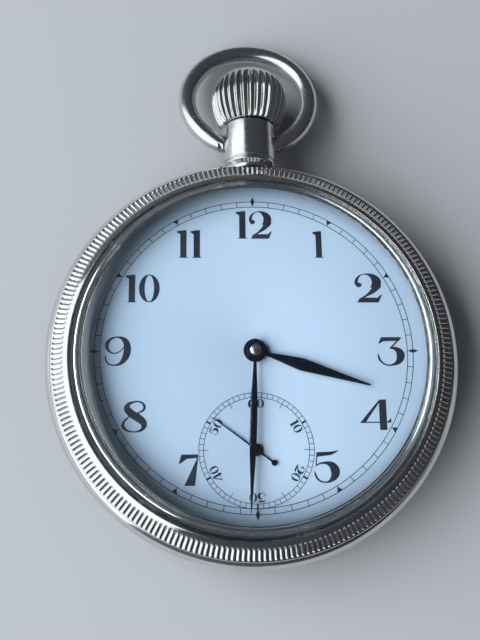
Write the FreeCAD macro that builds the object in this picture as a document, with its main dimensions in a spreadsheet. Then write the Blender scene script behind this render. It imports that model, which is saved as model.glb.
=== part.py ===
import FreeCAD, Part
import Sketcher
import math
import os

# Open face pocket watch, 51 mm case, Swiss type lever movement with sub-seconds at 6.
# Frame: origin on the hand axis at the table plane under the back cover, +X to 3 o'clock,
# +Y to 12 o'clock and the pendant, +Z out of the dial. Millimetres and degrees.
# In names and comments "low" and "back side" are toward -Z, "top" and "dial side" toward +Z.

Vector, Rotation = FreeCAD.Vector, FreeCAD.Rotation
doc = FreeCAD.newDocument("PocketWatch")
sheet = doc.addObject("Spreadsheet::Sheet", "Dim")

# ---------------------------------------------------------------- driving dimensions
DIMENSIONS = [
    # case
    ("band_rad", 26.1), ("band_low", 3.1), ("band_top", 7.0), ("band_bore", 22.6),
    ("ledge_bore", 21.5), ("ledge_low", 5.0), ("ledge_top", 6.4), ("seat_bore", 22.1),
    ("neck_out", 23.6), ("neck_in", 22.3), ("neck_top", 7.95),
    ("bezel_rad", 25.1), ("bezel_land", 23.4), ("bezel_in", 22.75), ("bezel_top", 8.62),
    ("glass_base", 8.05), ("glass_rad", 22.7), ("glass_top", 11.3), ("glass_thick", 1.0),
    ("back_rad", 25.0), ("back_flat", 15.0), ("back_thick", 0.8),
    # pendant, bow, crown, stem
    ("stem_axis", 4.8), ("pendant_rad", 3.5), ("pendant_foot", 25.15), ("pendant_end", 31.7),
    ("bow_pivot", 29.2), ("bow_wire", 1.2), ("bow_ring", 8.45), ("bow_reach", 7.8),
    ("bow_pin", 0.9), ("bow_droop", 12.2), ("bow_gap", 0.12),
    ("crown_base", 31.8), ("crown_tall", 8.3), ("crown_rad", 5.1), ("crown_foot", 3.9),
    ("crown_flutes", 32), ("stem_rad", 0.75), ("stem_inner", 0.6), ("sleeve_rad", 1.6),
    # dial and hands
    ("dial_rad", 22.0), ("dial_low", 7.1), ("dial_top", 8.0), ("seconds_offset", 12.04),
    ("hour_len", 14.7), ("minute_len", 19.5), ("seconds_len", 6.2),
    ("hour_angle", 107.2), ("minute_angle", 182.4), ("seconds_angle", 306.9),
    # movement plates
    ("plate_rad", 21.43), ("plate_low", 5.0), ("plate_flange", 22.0), ("plate_top", 7.1),
    ("under_dial", 6.2), ("bridge_rad", 21.2), ("bridge_out", 2.2), ("barrel_bridge_in", 3.7),
    ("train_bridge_in", 3.3), ("recess_floor", 2.8),
    # going train
    ("barrel_mod", 0.22), ("barrel_teeth", 80), ("centre_leaves", 10),
    ("barrel_x", -8.925), ("barrel_y", 4.285),
    ("centre_mod", 0.2), ("centre_teeth", 80), ("third_leaves", 10),
    ("third_mod", 0.18), ("third_teeth", 75), ("fourth_leaves", 10),
    ("third_x", -5.716), ("third_y", -6.952),
    ("fourth_mod", 0.16), ("fourth_teeth", 80), ("escape_leaves", 8),
    ("escape_x", 6.3), ("escape_y", -8.898), ("escape_teeth", 15), ("escape_rad", 2.6),
    ("pallet_x", 8.2), ("pallet_y", -6.6), ("balance_x", 11.0), ("balance_y", -3.0),
    ("balance_rad", 6.2), ("balance_room", 7.0),
    # motion work and winding work
    ("motion_mod", 0.19), ("cannon_leaves", 10), ("minute_teeth", 30), ("minute_leaves", 8),
    ("hour_teeth", 32), ("setting_teeth", 27), ("minute_y", 3.8), ("setting_y", 9.215),
    ("wind_mod", 0.28667), ("ratchet_teeth", 60), ("crown_wheel_teeth", 30),
    ("crown_wheel_y", 13.6), ("winding_teeth", 16), ("winding_rad", 2.25), ("clutch_rad", 1.6),
]
for row, (alias, size) in enumerate(DIMENSIONS, 1):
    sheet.set("A%d" % row, alias.replace("_", " "))
    sheet.set("B%d" % row, repr(size))
    sheet.setAlias("B%d" % row, alias)
doc.recompute()


class Quantity:
    """A sheet quantity: its value now, and the formula it is bound by."""

    def __init__(self, value, formula):
        self.value = float(value)
        self.formula = formula

    def __add__(self, other):
        other = quantity(other)
        return Quantity(self.value + other.value, "(%s + %s)" % (self.formula, other.formula))

    __radd__ = __add__

    def __sub__(self, other):
        other = quantity(other)
        return Quantity(self.value - other.value, "(%s - %s)" % (self.formula, other.formula))

    def __rsub__(self, other):
        return quantity(other) - self

    def __mul__(self, other):
        other = quantity(other)
        return Quantity(self.value * other.value, "(%s * %s)" % (self.formula, other.formula))

    __rmul__ = __mul__

    def __truediv__(self, other):
        other = quantity(other)
        return Quantity(self.value / other.value, "(%s / %s)" % (self.formula, other.formula))

    def __neg__(self):
        return Quantity(-self.value, "(0 - %s)" % self.formula)


def quantity(x):
    if isinstance(x, Quantity):
        return x
    return Quantity(x, "%.6f" % x if x >= 0 else "(0 - %.6f)" % -x)


def number(x):
    return x.value if isinstance(x, Quantity) else float(x)


class Dimensions:
    """Reads a sheet alias as a quantity: dim.band_rad."""

    def __getattr__(self, name):
        return Quantity(getattr(sheet, name), "Dim." + name)


dim = Dimensions()


def bind(obj, prop, x):
    """Sets a property, and ties it to the sheet where its value comes from there."""
    if isinstance(x, Quantity):
        obj.setExpression(prop, x.formula)
    else:
        setattr(obj, prop, x)


def place(obj, x=0.0, y=0.0, z=0.0, rotation=None):
    base = Vector(number(x), number(y), number(z))
    obj.Placement = FreeCAD.Placement(base, rotation or Rotation())
    for axis, coord in (("x", x), ("y", y), ("z", z)):
        if isinstance(coord, Quantity):
            obj.setExpression("Placement.Base." + axis, coord.formula)
    return obj


def about_z(deg):
    return Rotation(Vector(0, 0, 1), deg)


Z_TO_X = Rotation(Vector(0, 1, 0), 90)
Z_TO_Y = Rotation(Vector(1, 0, 0), -90)


def at(obj, centre, z=0.0, deg=0.0):
    """Stands a piece on an axis (x, y) of the movement, turned by deg about Z."""
    return place(obj, *centre, z, about_z(deg))


def polar(radius, deg, centre=(0.0, 0.0)):
    """The point at a radius and angle from a centre."""
    angle = math.radians(deg)
    return (number(centre[0]) + radius * math.cos(angle),
            number(centre[1]) + radius * math.sin(angle))


def direction(start, end):
    """The angle in degrees of the line from start to end."""
    return math.degrees(math.atan2(number(end[1]) - number(start[1]),
                                   number(end[0]) - number(start[0])))


# ---------------------------------------------------------------- sketches and features
def new_body(name):
    return doc.addObject("PartDesign::Body", name)


def sketch(body, role, name):
    s = body.newObject("Sketcher::SketchObject", name)
    plane = next(f for f in body.Origin.OriginFeatures if f.Role == role)
    s.AttachmentSupport = [(plane, "")]
    s.MapMode = "FlatFace"
    return s


def point_constraints(geo, point, x, y):
    """(constraint, formula) pairs that hold a point at x, y from the sketch origin."""
    pairs = []
    for coord, kind, axis in ((x, "DistanceX", -2), (y, "DistanceY", -1)):
        if abs(number(coord)) < 1e-9:
            pairs.append((Sketcher.Constraint("PointOnObject", geo, point, axis), None))
        else:
            formula = coord.formula if isinstance(coord, Quantity) else None
            pairs.append((Sketcher.Constraint(kind, -1, 1, geo, point, number(coord)), formula))
    return pairs


def radius_constraint(geo, radius):
    formula = radius.formula if isinstance(radius, Quantity) else None
    return Sketcher.Constraint("Radius", geo, number(radius)), formula


def constrain(s, pairs):
    first = s.ConstraintCount
    s.addConstraint([constraint for constraint, _ in pairs])
    for k, (_, formula) in enumerate(pairs, first):
        if formula:
            s.setExpression("Constraints[%d]" % k, formula)


def outline(s, points):
    """A closed outline of straight edges, each corner dimensioned from the origin."""
    n, first = len(points), s.GeometryCount
    corners = [Vector(number(x), number(y), 0) for x, y in points]
    for i in range(n):
        s.addGeometry(Part.LineSegment(corners[i], corners[(i + 1) % n]), False)
    pairs = [(Sketcher.Constraint("Coincident", first + i, 2, first + (i + 1) % n, 1), None)
             for i in range(n)]
    for i, (x, y) in enumerate(points):
        pairs += point_constraints(first + i, 1, x, y)
    constrain(s, pairs)


def circle(s, radius, x=0.0, y=0.0):
    geo = s.GeometryCount
    centre = Vector(number(x), number(y), 0)
    s.addGeometry(Part.Circle(centre, Vector(0, 0, 1), number(radius)), False)
    constrain(s, [radius_constraint(geo, radius)] + point_constraints(geo, 3, x, y))


def turned(name, points, role="XZ_Plane"):
    """A turned piece: the outline (radius, height) revolved about the sketch's vertical axis."""
    body = new_body(name)
    s = sketch(body, role, name + "_profile")
    outline(s, points)
    turn = body.newObject("PartDesign::Revolution", name + "_turn")
    turn.Profile = s
    turn.ReferenceAxis = (s, ["V_Axis"])
    turn.Angle = 360
    return body


def turned_y(name, points):
    """A piece turned about the stem axis: the outline is (radius, y)."""
    return place(turned(name, points, role="XY_Plane"), 0, 0, dim.stem_axis)


def pad(body, s, length, name):
    p = body.newObject("PartDesign::Pad", name)
    p.Profile = s
    bind(p, "Length", length)
    return p


def pocket_through(body, s, name):
    p = body.newObject("PartDesign::Pocket", name)
    p.Profile = s
    p.Type = 1
    p.Reversed = True
    return p


def repeat_round(body, feature, s, occurrences, name):
    """Repeats a feature round the normal of its sketch."""
    pattern = body.newObject("PartDesign::PolarPattern", name)
    pattern.Originals = [feature]
    pattern.Axis = (s, ["N_Axis"])
    pattern.Angle = 360
    bind(pattern, "Occurrences", occurrences)
    body.Tip = pattern
    return pattern


def flat(name, points, thick, hole=None):
    """A flat piece: an outline padded up from its own XY plane, with a hole at its origin."""
    body = new_body(name)
    s = sketch(body, "XY_Plane", name + "_outline")
    outline(s, points)
    if hole:
        circle(s, hole)
    pad(body, s, thick, name + "_pad")
    return body


def mirrored(points):
    """A full outline from its -X half, listed along +Y."""
    return points + [(-x, y) for x, y in reversed(points)]


# ---------------------------------------------------------------- toothed wheels
def disc_with_teeth(body, prefix, radius, bore, thick, tooth, teeth):
    """A disc, one tooth from its outline, and the pattern of that tooth, which is returned."""
    s = sketch(body, "XY_Plane", prefix + "_disc")
    circle(s, radius)
    if bore:
        circle(s, bore)
    pad(body, s, thick, prefix + "_disc_pad")
    s = sketch(body, "XY_Plane", prefix + "_tooth")
    outline(s, tooth)
    tooth_pad = pad(body, s, thick, prefix + "_tooth_pad")
    return repeat_round(body, tooth_pad, s, teeth, prefix + "_teeth")


def cut_windows(body, prefix, window, windows):
    """Windows through a wheel, which leave its arms standing."""
    s = sketch(body, "XY_Plane", prefix + "_window")
    outline(s, window)
    pocket = pocket_through(body, s, prefix + "_window_cut")
    repeat_round(body, pocket, s, windows, prefix + "_arms")


TRAIN_ARMS = 5
ARM_MARGIN = 8.0   # degrees from each window's outer corners to the sector's edges


def arm_window(inner, outer):
    """One window: 7 points along the rim, then 4 back along the hub over a narrower angle."""
    start, end = ARM_MARGIN, 360.0 / TRAIN_ARMS - ARM_MARGIN
    hub_start = 1.9 * ARM_MARGIN
    hub_end = end - (hub_start - start)
    return ([polar(outer, start + (end - start) * k / 6) for k in range(7)]
            + [polar(inner, hub_end + (hub_start - hub_end) * k / 3) for k in range(4)])


# A pinion leaf, in modules: heights beyond and below the pitch circle, half widths on the
# pitch circle, at the tip and at the root.
LEAF = dict(addendum=0.72, dedendum=1.1, half=0.46, tip=0.16, root=0.46)


def toothed(name, teeth, module, thick, bore=None, addendum=0.8, dedendum=1.15, half=0.60,
            tip=0.24, root=0.92, arms=None):
    """A toothed wheel about local Z; arms is (rim width, hub radius) of a wheel with windows."""
    pitch = teeth * module / 2
    root_rad = pitch - dedendum * module
    middle_rad = pitch + 0.5 * addendum * module
    tip_rad = pitch + addendum * module
    flank = [(root_rad - 0.35 * module, root * module), (root_rad, root * module),
             (pitch, half * module), (middle_rad, half * 0.78 * module),
             (tip_rad, tip * module)]
    tooth = [(x, -y) for x, y in flank] + flank[::-1]
    body = new_body(name)
    pattern = disc_with_teeth(body, name, root_rad, bore, thick, tooth, teeth)
    pattern.Refine = False
    if arms:
        rim, hub = arms
        cut_windows(body, name, arm_window(hub, number(root_rad) - rim), TRAIN_ARMS)
    return body


def mesh_phase(teeth_a, phase_a, centre_a, teeth_b, centre_b):
    """The angle of a tooth of wheel B that meshes it with wheel A, a tooth of A at phase_a."""
    line = math.radians(direction(centre_a, centre_b))
    pitches = number(teeth_a) * (line - math.radians(phase_a)) / (2 * math.pi)
    return math.degrees(line + math.pi - (2 * math.pi / number(teeth_b)) * (0.5 - pitches))


# ---------------------------------------------------------------- primitives and booleans
def primitive(kind, **sizes):
    obj = doc.addObject("Part::" + kind, kind)
    for prop, size in sizes.items():
        bind(obj, prop, size)
    return obj


def rod(radius, z0, z1, x=0.0, y=0.0):
    """A cylinder standing on Z from z0 to z1."""
    return place(primitive("Cylinder", Radius=radius, Height=z1 - z0), x, y, z0)


def rods(radius, z0, z1, places):
    return [rod(radius, z0, z1, *xy) for xy in places]


def rod_x(radius, x0, x1, y=0.0, z=0.0):
    """A cylinder lying along X."""
    return place(primitive("Cylinder", Radius=radius, Height=x1 - x0), x0, y, z, Z_TO_X)


def rod_y(radius, y0, y1):
    """A cylinder on the stem axis, along Y."""
    cylinder = primitive("Cylinder", Radius=radius, Height=y1 - y0)
    return place(cylinder, 0.0, y0, dim.stem_axis, Z_TO_Y)


def rod_radial(radius, length, start, deg, z, centre=(0.0, 0.0)):
    """A cylinder lying outward from a centre, from the start radius, at an angle."""
    cylinder = primitive("Cylinder", Radius=radius, Height=length)
    return place(cylinder, *polar(start, deg, centre), z, about_z(deg).multiply(Z_TO_X))


def block(x0, x1, y0, y1, z0, z1):
    return place(primitive("Box", Length=x1 - x0, Width=y1 - y0, Height=z1 - z0), x0, y0, z0)


def fuse(objects, name="Fuse"):
    obj = doc.addObject("Part::MultiFuse", name)
    obj.Shapes = objects
    return obj


def cut(base, tools, name="Cut"):
    obj = doc.addObject("Part::Cut", name)
    obj.Base = base
    obj.Tool = tools[0] if len(tools) == 1 else fuse(tools)
    return obj


def common(objects):
    obj = doc.addObject("Part::MultiCommon", "Common")
    obj.Shapes = objects
    return obj


def group(name, objects):
    obj = doc.addObject("Part::Compound", name)
    obj.Links = objects
    return obj


def screw(head_rad, head_tall, shank_rad, shank_len, x, y, z, slot=0.18, up=False):
    """A slotted screw with its slotted face at z; the shank runs to +Z, or to -Z when up."""
    if up:
        neck = z - head_tall
        head = rod(head_rad, neck, z, x, y)
        shank = rod(shank_rad, neck - shank_len, neck, x, y)
        slot_z = (z - head_tall * 0.45, z + 0.1)
    else:
        neck = z + head_tall
        head = rod(head_rad, z, neck, x, y)
        shank = rod(shank_rad, neck, neck + shank_len, x, y)
        slot_z = (z - 0.1, z + head_tall * 0.45)
    slot_block = block(x - slot / 2, x + slot / 2, y - head_rad - 0.1, y + head_rad + 0.1, *slot_z)
    return cut(fuse([head, shank]), [slot_block])


PIECES = []


def piece(obj):
    """Lists an object for export under its label."""
    PIECES.append(obj)
    return obj


# ---------------------------------------------------------------- axes and screw places
CENTRE = (0.0, 0.0)
BARREL = (dim.barrel_x, dim.barrel_y)
THIRD = (dim.third_x, dim.third_y)
FOURTH = (0.0, -dim.seconds_offset)
ESCAPE = (dim.escape_x, dim.escape_y)
PALLET = (dim.pallet_x, dim.pallet_y)
BALANCE = (dim.balance_x, dim.balance_y)
MINUTE = (0.0, dim.minute_y)
SETTING = (0.0, dim.setting_y)
CROWN_WHEEL = (0.0, dim.crown_wheel_y)

CLICK = (1.6, 7.0)
CLICK_SPRING_SCREW = (4.4, 4.1)
SETTING_LEVER = (3.6, 19.3)
YOKE = (6.5, 14.0)
SETTING_SPRING_SCREW = (8.1, 17.0)

BARREL_BRIDGE_SCREWS = [polar(20.2, deg) for deg in (45.0, 130.0, 157.0)]
TRAIN_BRIDGE_SCREWS = [polar(20.2, deg) for deg in (213.0, 240.0, 298.0)]
BRIDGE_SCREWS = BARREL_BRIDGE_SCREWS + TRAIN_BRIDGE_SCREWS
CASE_SCREWS = [polar(20.75, deg) for deg in (172.0, 12.0)]
DIAL_FEET_DEG = (150.0, 270.0, 20.0)
DIAL_FEET = [polar(19.2, deg) for deg in DIAL_FEET_DEG]

COCK_DEG = direction(CENTRE, BALANCE)      # the cock lies outward over the balance
LEVER_DEG = direction(PALLET, BALANCE)     # the lever points at the balance
COCK_SCREW = polar(8.4, COCK_DEG, BALANCE)
HAIRSPRING_STUD = polar(3.9, COCK_DEG + 28, BALANCE)
IMPULSE_JEWEL = polar(0.8, LEVER_DEG + 180, BALANCE)
PALLET_SCREW = (13.2, -11.2)

STEM_CLEAR = 0.12    # radial room for the stem in band and pendant
SHAFT_BORE = dim.stem_inner + 0.04    # bore of the clutch and winding pinion
JEWEL_HOLE = 0.15

# ================================================================ case
band = turned("band_ring", [
    (24.6, dim.band_low), (dim.band_rad - 0.25, dim.band_low + 0.5),
    (dim.band_rad, dim.band_low + 1.4), (dim.band_rad, dim.band_low + 2.2),
    (dim.band_rad - 0.25, dim.band_low + 3.2), (25.05, dim.band_top),
    (dim.neck_out, dim.band_top), (dim.neck_out, dim.neck_top), (dim.neck_in, dim.neck_top),
    (dim.neck_in, dim.band_top), (dim.seat_bore, dim.band_top), (dim.seat_bore, dim.ledge_top),
    (dim.ledge_bore, dim.ledge_top), (dim.ledge_bore, dim.ledge_low),
    (dim.band_bore, dim.ledge_low), (dim.band_bore + 0.4, 2.75), (23.95, 2.75),
    (23.95, dim.band_low)])
case_band = piece(cut(band, [rod_y(dim.sleeve_rad, 23.0, 26.6),
                             rod_y(dim.stem_rad + STEM_CLEAR, 20.5, 23.5)], "case_band"))

piece(turned("bezel", [
    (dim.bezel_rad, dim.band_top), (dim.bezel_rad, dim.band_top + 0.4),
    (dim.bezel_land, dim.bezel_top - 0.32), (dim.bezel_in + 0.1, dim.bezel_top),
    (dim.bezel_in, dim.bezel_top - 0.05), (dim.bezel_in - 0.03, dim.glass_base),
    (dim.bezel_in - 0.03, dim.neck_top), (dim.neck_out + 0.04, dim.neck_top),
    (dim.neck_out + 0.04, dim.band_top)]))

# crystal: outer dome to the middle, then the inner dome back to the edge
glass_under = dim.glass_top - dim.glass_thick
piece(turned("crystal", [
    (dim.glass_rad, dim.glass_base), (dim.glass_rad, dim.glass_base + 0.45), (22.2, 8.98),
    (21.15, dim.glass_top - 1.05), (19.6, dim.glass_top - 0.84), (17.0, dim.glass_top - 0.6),
    (13.0, dim.glass_top - 0.34), (8.0, dim.glass_top - 0.12), (0.0, dim.glass_top),
    (0.0, glass_under), (8.0, glass_under - 0.08), (13.0, glass_under - 0.22),
    (17.0, glass_under - 0.46), (19.4, 9.4), (20.6, 9.0), (21.3, 8.5), (21.6, dim.glass_base)]))

piece(turned("back_cover", [
    (0.0, 0.0), (dim.back_flat, 0.0), (19.0, 0.28), (22.0, 1.0), (24.0, 1.9), (24.85, 2.6),
    (dim.back_rad, dim.band_low), (24.0, dim.band_low), (24.0, 2.72), (22.95, 2.45),
    (21.45, 1.78), (18.7, 0.28 + dim.back_thick), (dim.back_flat, dim.back_thick),
    (0.0, dim.back_thick)]))

# pendant: its foot fitted to the band and its sides bored for the bow
pendant_turned = turned_y("pendant_turned", [
    (dim.sleeve_rad, 23.6), (dim.sleeve_rad, dim.pendant_foot), (2.75, dim.pendant_foot),
    (2.75, 25.55), (3.15, 25.75), (dim.pendant_rad, 25.9), (dim.pendant_rad, 26.2),
    (3.3, 26.3), (3.3, 26.42), (dim.pendant_rad, 26.55),
    (dim.pendant_rad, dim.pendant_end - 0.15), (dim.pendant_rad - 0.15, dim.pendant_end),
    (dim.sleeve_rad, dim.pendant_end), (dim.sleeve_rad, 26.0),
    (dim.stem_rad + STEM_CLEAR, 26.0), (dim.stem_rad + STEM_CLEAR, 23.6)])
bow_holes = [rod_x(dim.bow_pin + 0.05, x0, x0 + 1.8, dim.bow_pivot, dim.stem_axis)
             for x0 in (2.0, -3.8)]
piece(cut(pendant_turned, bow_holes + [case_band], "pendant"))

piece(turned_y("pendant_sleeve", [
    (dim.stem_rad + 0.06, 26.0), (dim.sleeve_rad, 26.0),
    (dim.sleeve_rad, dim.pendant_end - 0.3), (dim.stem_rad + 0.06, dim.pendant_end - 0.3)]))


def bow_wire():
    """Round wire swept along an arc whose two ends lie on the local X axis."""
    body = new_body("bow_wire_body")
    path = sketch(body, "XY_Plane", "bow_path")
    ring, reach = dim.bow_ring, dim.bow_reach
    end_angle = -math.asin(reach.value / ring.value)
    ring_circle = Part.Circle(Vector(0, reach.value, 0), Vector(0, 0, 1), ring.value)
    path.addGeometry(Part.ArcOfCircle(ring_circle, end_angle, math.pi - end_angle), False)
    constrain(path, [radius_constraint(0, ring)] + point_constraints(0, 3, 0.0, reach) + [
        (Sketcher.Constraint("PointOnObject", 0, end, -1), None) for end in (1, 2)])
    section = sketch(body, "YZ_Plane", "bow_section")
    circle(section, dim.bow_wire, reach + ring, 0.0)
    doc.recompute()
    pipe = body.newObject("PartDesign::AdditivePipe", "bow_pipe")
    pipe.Profile = section
    pipe.Spine = path
    doc.recompute()
    return body


# bow: the wire trimmed clear of the pendant, with a pin into each of its sides
trim_half = dim.pendant_rad + dim.bow_gap
bow_trimmed = cut(bow_wire(), [block(-trim_half, trim_half, -4.0, 1.8, -3.0, 3.0)])
bow_pins = [rod_x(dim.bow_pin, x0, x0 + 2.3) for x0 in (2.12, -4.42)]
bow = piece(fuse([bow_trimmed] + bow_pins, "bow"))
place(bow, 0, dim.bow_pivot, dim.stem_axis, Rotation(Vector(1, 0, 0), -dim.bow_droop.value))

# crown: onion shape with straight flutes, bored for the stem
crown = turned("crown_onion", [
    (0.0, 4.6), (dim.stem_rad, 4.6), (dim.stem_rad, 0.0), (dim.crown_foot, 0.0), (4.35, 0.65),
    (4.85, 2.0), (dim.crown_rad, 3.6), (dim.crown_rad, 4.4), (4.85, 5.55), (4.2, 6.7),
    (3.0, 7.65), (1.6, 8.12), (0.0, dim.crown_tall)])
flute = sketch(crown, "XY_Plane", "flute")
circle(flute, 0.34, dim.crown_rad + 0.02, 0.0)
flute_cut = pocket_through(crown, flute, "flute_cut")
repeat_round(crown, flute_cut, flute, dim.crown_flutes, "flutes")
crown.Label = "crown"
piece(place(crown, 0, dim.crown_base, dim.stem_axis, Z_TO_Y))

# ================================================================ dial and hands
dial_disc = rod(dim.dial_rad, dim.dial_low, dim.dial_top)
dial_feet = rods(0.4, 5.7, dim.dial_low + 0.1, DIAL_FEET)
piece(cut(fuse([dial_disc] + dial_feet),
          [rod(1.1, 7.0, 8.2), rod(0.35, 7.0, 8.2, *FOURTH)], "dial"))


def hand(name, half_blade, thick, z, angle, boss, bore, bore_top, centre=CENTRE, disc=None):
    """A flat hand along local +Y, turned clockwise from 12 o'clock, seen from the dial side.

    boss is (radius, height); disc, if any, is (radius, y) of a round on the blade's tail.
    """
    boss_rad, boss_tall = boss
    parts = [flat(name + "_blade", mirrored(half_blade), thick), rod(boss_rad, 0.0, boss_tall)]
    if disc:
        disc_rad, disc_y = disc
        parts.append(rod(disc_rad, 0.0, thick, 0.0, disc_y))
    return piece(at(cut(fuse(parts), [rod(bore, -0.5, bore_top)], name),
                    centre, z, -angle.value))


hand("hour_hand", [(-0.18, 1.0), (-0.77, 6.0), (-0.13, dim.hour_len)],
     thick=0.2, z=8.36, angle=dim.hour_angle, boss=(1.45, 0.24), bore=0.9, bore_top=0.74)
hand("minute_hand", [(-0.15, 0.8), (-0.42, 6.4), (-0.42, 11.6), (-0.08, dim.minute_len)],
     thick=0.18, z=8.82, angle=dim.minute_angle, boss=(1.1, 0.22), bore=0.55, bore_top=0.72)
# the seconds hand's bore is blind
hand("seconds_hand", [(-0.12, -2.6), (-0.1, 0.0), (-0.05, dim.seconds_len)],
     thick=0.1, z=8.12, angle=dim.seconds_angle, boss=(0.75, 0.16), bore=0.14, bore_top=0.128,
     centre=FOURTH, disc=(0.36, -2.57))

# ================================================================ main plate
plate_under = dim.plate_low - 0.1    # tools start or end just clear of the plate
plate_over = dim.plate_top + 0.2
plate = fuse([rod(dim.plate_rad, dim.plate_low, dim.ledge_top),
              rod(dim.plate_flange, dim.ledge_top, dim.plate_top)])
plate_cuts = [
    # back side: barrel sink
    rod(8.7, plate_under, 5.6, *BARREL),
    # dial side: motion work and setting wheel
    rod(3.6, dim.under_dial, plate_over), rod(3.4, dim.under_dial, plate_over, *MINUTE),
    rod(3.1, dim.under_dial, plate_over, *SETTING),
    # keyless work: slot and its narrow end, lever sink, yoke sink, cover shelf
    block(-2.5, 2.5, 12.0, 18.7, 4.8, plate_over),
    block(-0.55, 0.55, 18.6, 20.6, 4.8, plate_over),
    block(-0.95, 5.4, 18.72, 20.75, 6.0, plate_over),
    block(1.2, 7.6, 12.9, 18.9, 6.0, plate_over),
    block(2.6, 9.0, 12.9, 18.9, 6.6, plate_over),
    # stem bearing and pilot
    rod_y(dim.stem_rad + 0.05, 18.5, 22.5), rod_y(0.5, 10.4, 12.2),
    # arbor holes
    rod(0.56, plate_under, 6.4), rod(0.85, 5.5, 6.4, *BARREL),
    rod(0.55, plate_under, 5.55, *THIRD), rod(0.3, plate_under, plate_over, *FOURTH),
    rod(0.55, plate_under, 5.55, *FOURTH), rod(0.4, plate_under, 5.5, *ESCAPE),
    rod(0.4, plate_under, 5.5, *PALLET), rod(0.5, plate_under, 5.8, *BALANCE),
    # studs and pivots of the motion and keyless work
    rod(0.3, 5.7, 6.3, *MINUTE), rod(0.3, 5.7, 6.3, *SETTING),
    rod(0.4, 5.3, 6.2, *SETTING_LEVER), rod(0.4, 5.3, 6.2, *YOKE),
    rod(0.35, 5.3, 6.7, *SETTING_SPRING_SCREW),
]
plate_cuts += rods(0.4, 5.7, plate_over, DIAL_FEET)
plate_cuts += rods(0.45, plate_under, 6.0, BRIDGE_SCREWS + [COCK_SCREW])
plate_cuts += rods(0.4, plate_under, 6.0, [PALLET_SCREW])
plate_cuts += rods(0.5, plate_under, 6.2, CASE_SCREWS)
plate_cuts += [rod_radial(0.35, 2.2, 19.3, deg, 5.9) for deg in DIAL_FEET_DEG]
piece(cut(plate, plate_cuts, "main_plate"))

piece(group("dial_screws", [rod_radial(0.35, 1.7, 19.62, deg, 5.9) for deg in DIAL_FEET_DEG]))
piece(group("motion_studs", [rod(0.3, 5.7, 7.0, *MINUTE), rod(0.3, 5.7, 6.85, *SETTING)]))

# ================================================================ bridges and cocks
bridge_under = dim.bridge_out - 0.2          # tool ends clear of the bridges' two faces
bridge_over = dim.barrel_bridge_in + 0.2
feet_over = dim.plate_low + 0.2


def bridge_foot(bridge_in, start_deg, end_deg):
    """A foot of a bridge: an arc of its outer ring, from inside the bridge to the plate."""
    low = bridge_in - 0.1
    sector = primitive("Cylinder", Radius=dim.bridge_rad, Height=dim.plate_low - low)
    sector.Angle = end_deg - start_deg
    at(sector, CENTRE, low, start_deg)
    return cut(sector, [rod(19.25, low - 0.2, feet_over)])


def bridge_clearances():
    """Room for the balance and the ratchet wheel, cut in both bridges."""
    return [rod(dim.balance_room, bridge_under, bridge_over, *BALANCE),
            rod(9.15, bridge_under, dim.recess_floor, *BARREL)]


def counterbored(places):
    return rods(0.9, bridge_under, 2.7, places) + rods(0.45, 2.6, feet_over, places)


barrel_bridge = fuse([
    common([rod(dim.bridge_rad, dim.bridge_out, dim.barrel_bridge_in),
            block(-22, 22, 0.3, 22, 2.0, 4.0)]),
    rod(1.9, dim.bridge_out, dim.barrel_bridge_in),
    bridge_foot(dim.barrel_bridge_in, 25, 68), bridge_foot(dim.barrel_bridge_in, 108, 163)])
barrel_bridge_cuts = bridge_clearances() + [
    # crown wheel recess, barrel arbor and crown wheel screw
    rod(4.85, bridge_under, dim.recess_floor, *CROWN_WHEEL),
    rod(1.25, 2.5, 4.0, *BARREL), rod(0.6, 2.5, 3.12, *CROWN_WHEEL),
    # winding pinion slot, clutch groove, centre arbor
    block(-2.15, 2.15, 17.4, 18.8, bridge_under, bridge_over),
    block(-1.4, 1.4, 11.9, 17.6, 3.1, bridge_over),
    rod(0.38, 2.5, 4.0),
    # click work recess and its screws
    rod(1.75, bridge_under, dim.recess_floor, 1.3, 6.8),
    block(0.9, 5.2, 3.3, 7.3, bridge_under, dim.recess_floor),
    rod(0.4, 2.5, 3.6, *CLICK), rod(0.35, 2.5, 3.6, *CLICK_SPRING_SCREW),
]
barrel_bridge_cuts += counterbored(BARREL_BRIDGE_SCREWS)
barrel_bridge_cuts += rods(1.6, bridge_under, feet_over, CASE_SCREWS)
piece(cut(barrel_bridge, barrel_bridge_cuts, "barrel_bridge"))

train_bridge = fuse([
    common([rod(dim.bridge_rad, dim.bridge_out, dim.train_bridge_in),
            block(-22, 12.5, -22, -0.5, 2.0, 4.0)]),
    bridge_foot(dim.train_bridge_in, 204, 250), bridge_foot(dim.train_bridge_in, 288, 305)])
train_bridge_cuts = bridge_clearances() + [rod(2.2, bridge_under, bridge_over)]
# seats of the jewels, and the small holes behind them
train_bridge_cuts += rods(0.55, 2.7, 3.4, [THIRD, FOURTH]) + rods(0.4, 2.7, 3.4, [ESCAPE])
train_bridge_cuts += rods(JEWEL_HOLE, bridge_under, 2.8, [THIRD, FOURTH, ESCAPE])
train_bridge_cuts += counterbored(TRAIN_BRIDGE_SCREWS)
piece(cut(train_bridge, train_bridge_cuts, "train_bridge"))

# pallet cock: a strip from the pallet arbor to its foot, on the dial side of the balance rim
strip_len = math.hypot(PALLET_SCREW[0] - dim.pallet_x.value, PALLET_SCREW[1] - dim.pallet_y.value)
pallet_strip = at(flat("pallet_cock_strip", [
    (-1.0, -1.0), (strip_len, -1.3), (strip_len + 1.2, -0.6), (strip_len + 1.2, 0.6),
    (strip_len, 1.3), (-1.0, 1.0)], 0.45), PALLET, 3.85, direction(PALLET, PALLET_SCREW))
piece(cut(fuse([pallet_strip, rod(1.15, 4.2, dim.plate_low, *PALLET_SCREW)]),
          [rod(0.35, 3.8, 4.4, *PALLET), rod(0.4, 3.8, 5.1, *PALLET_SCREW)], "pallet_cock"))

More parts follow.
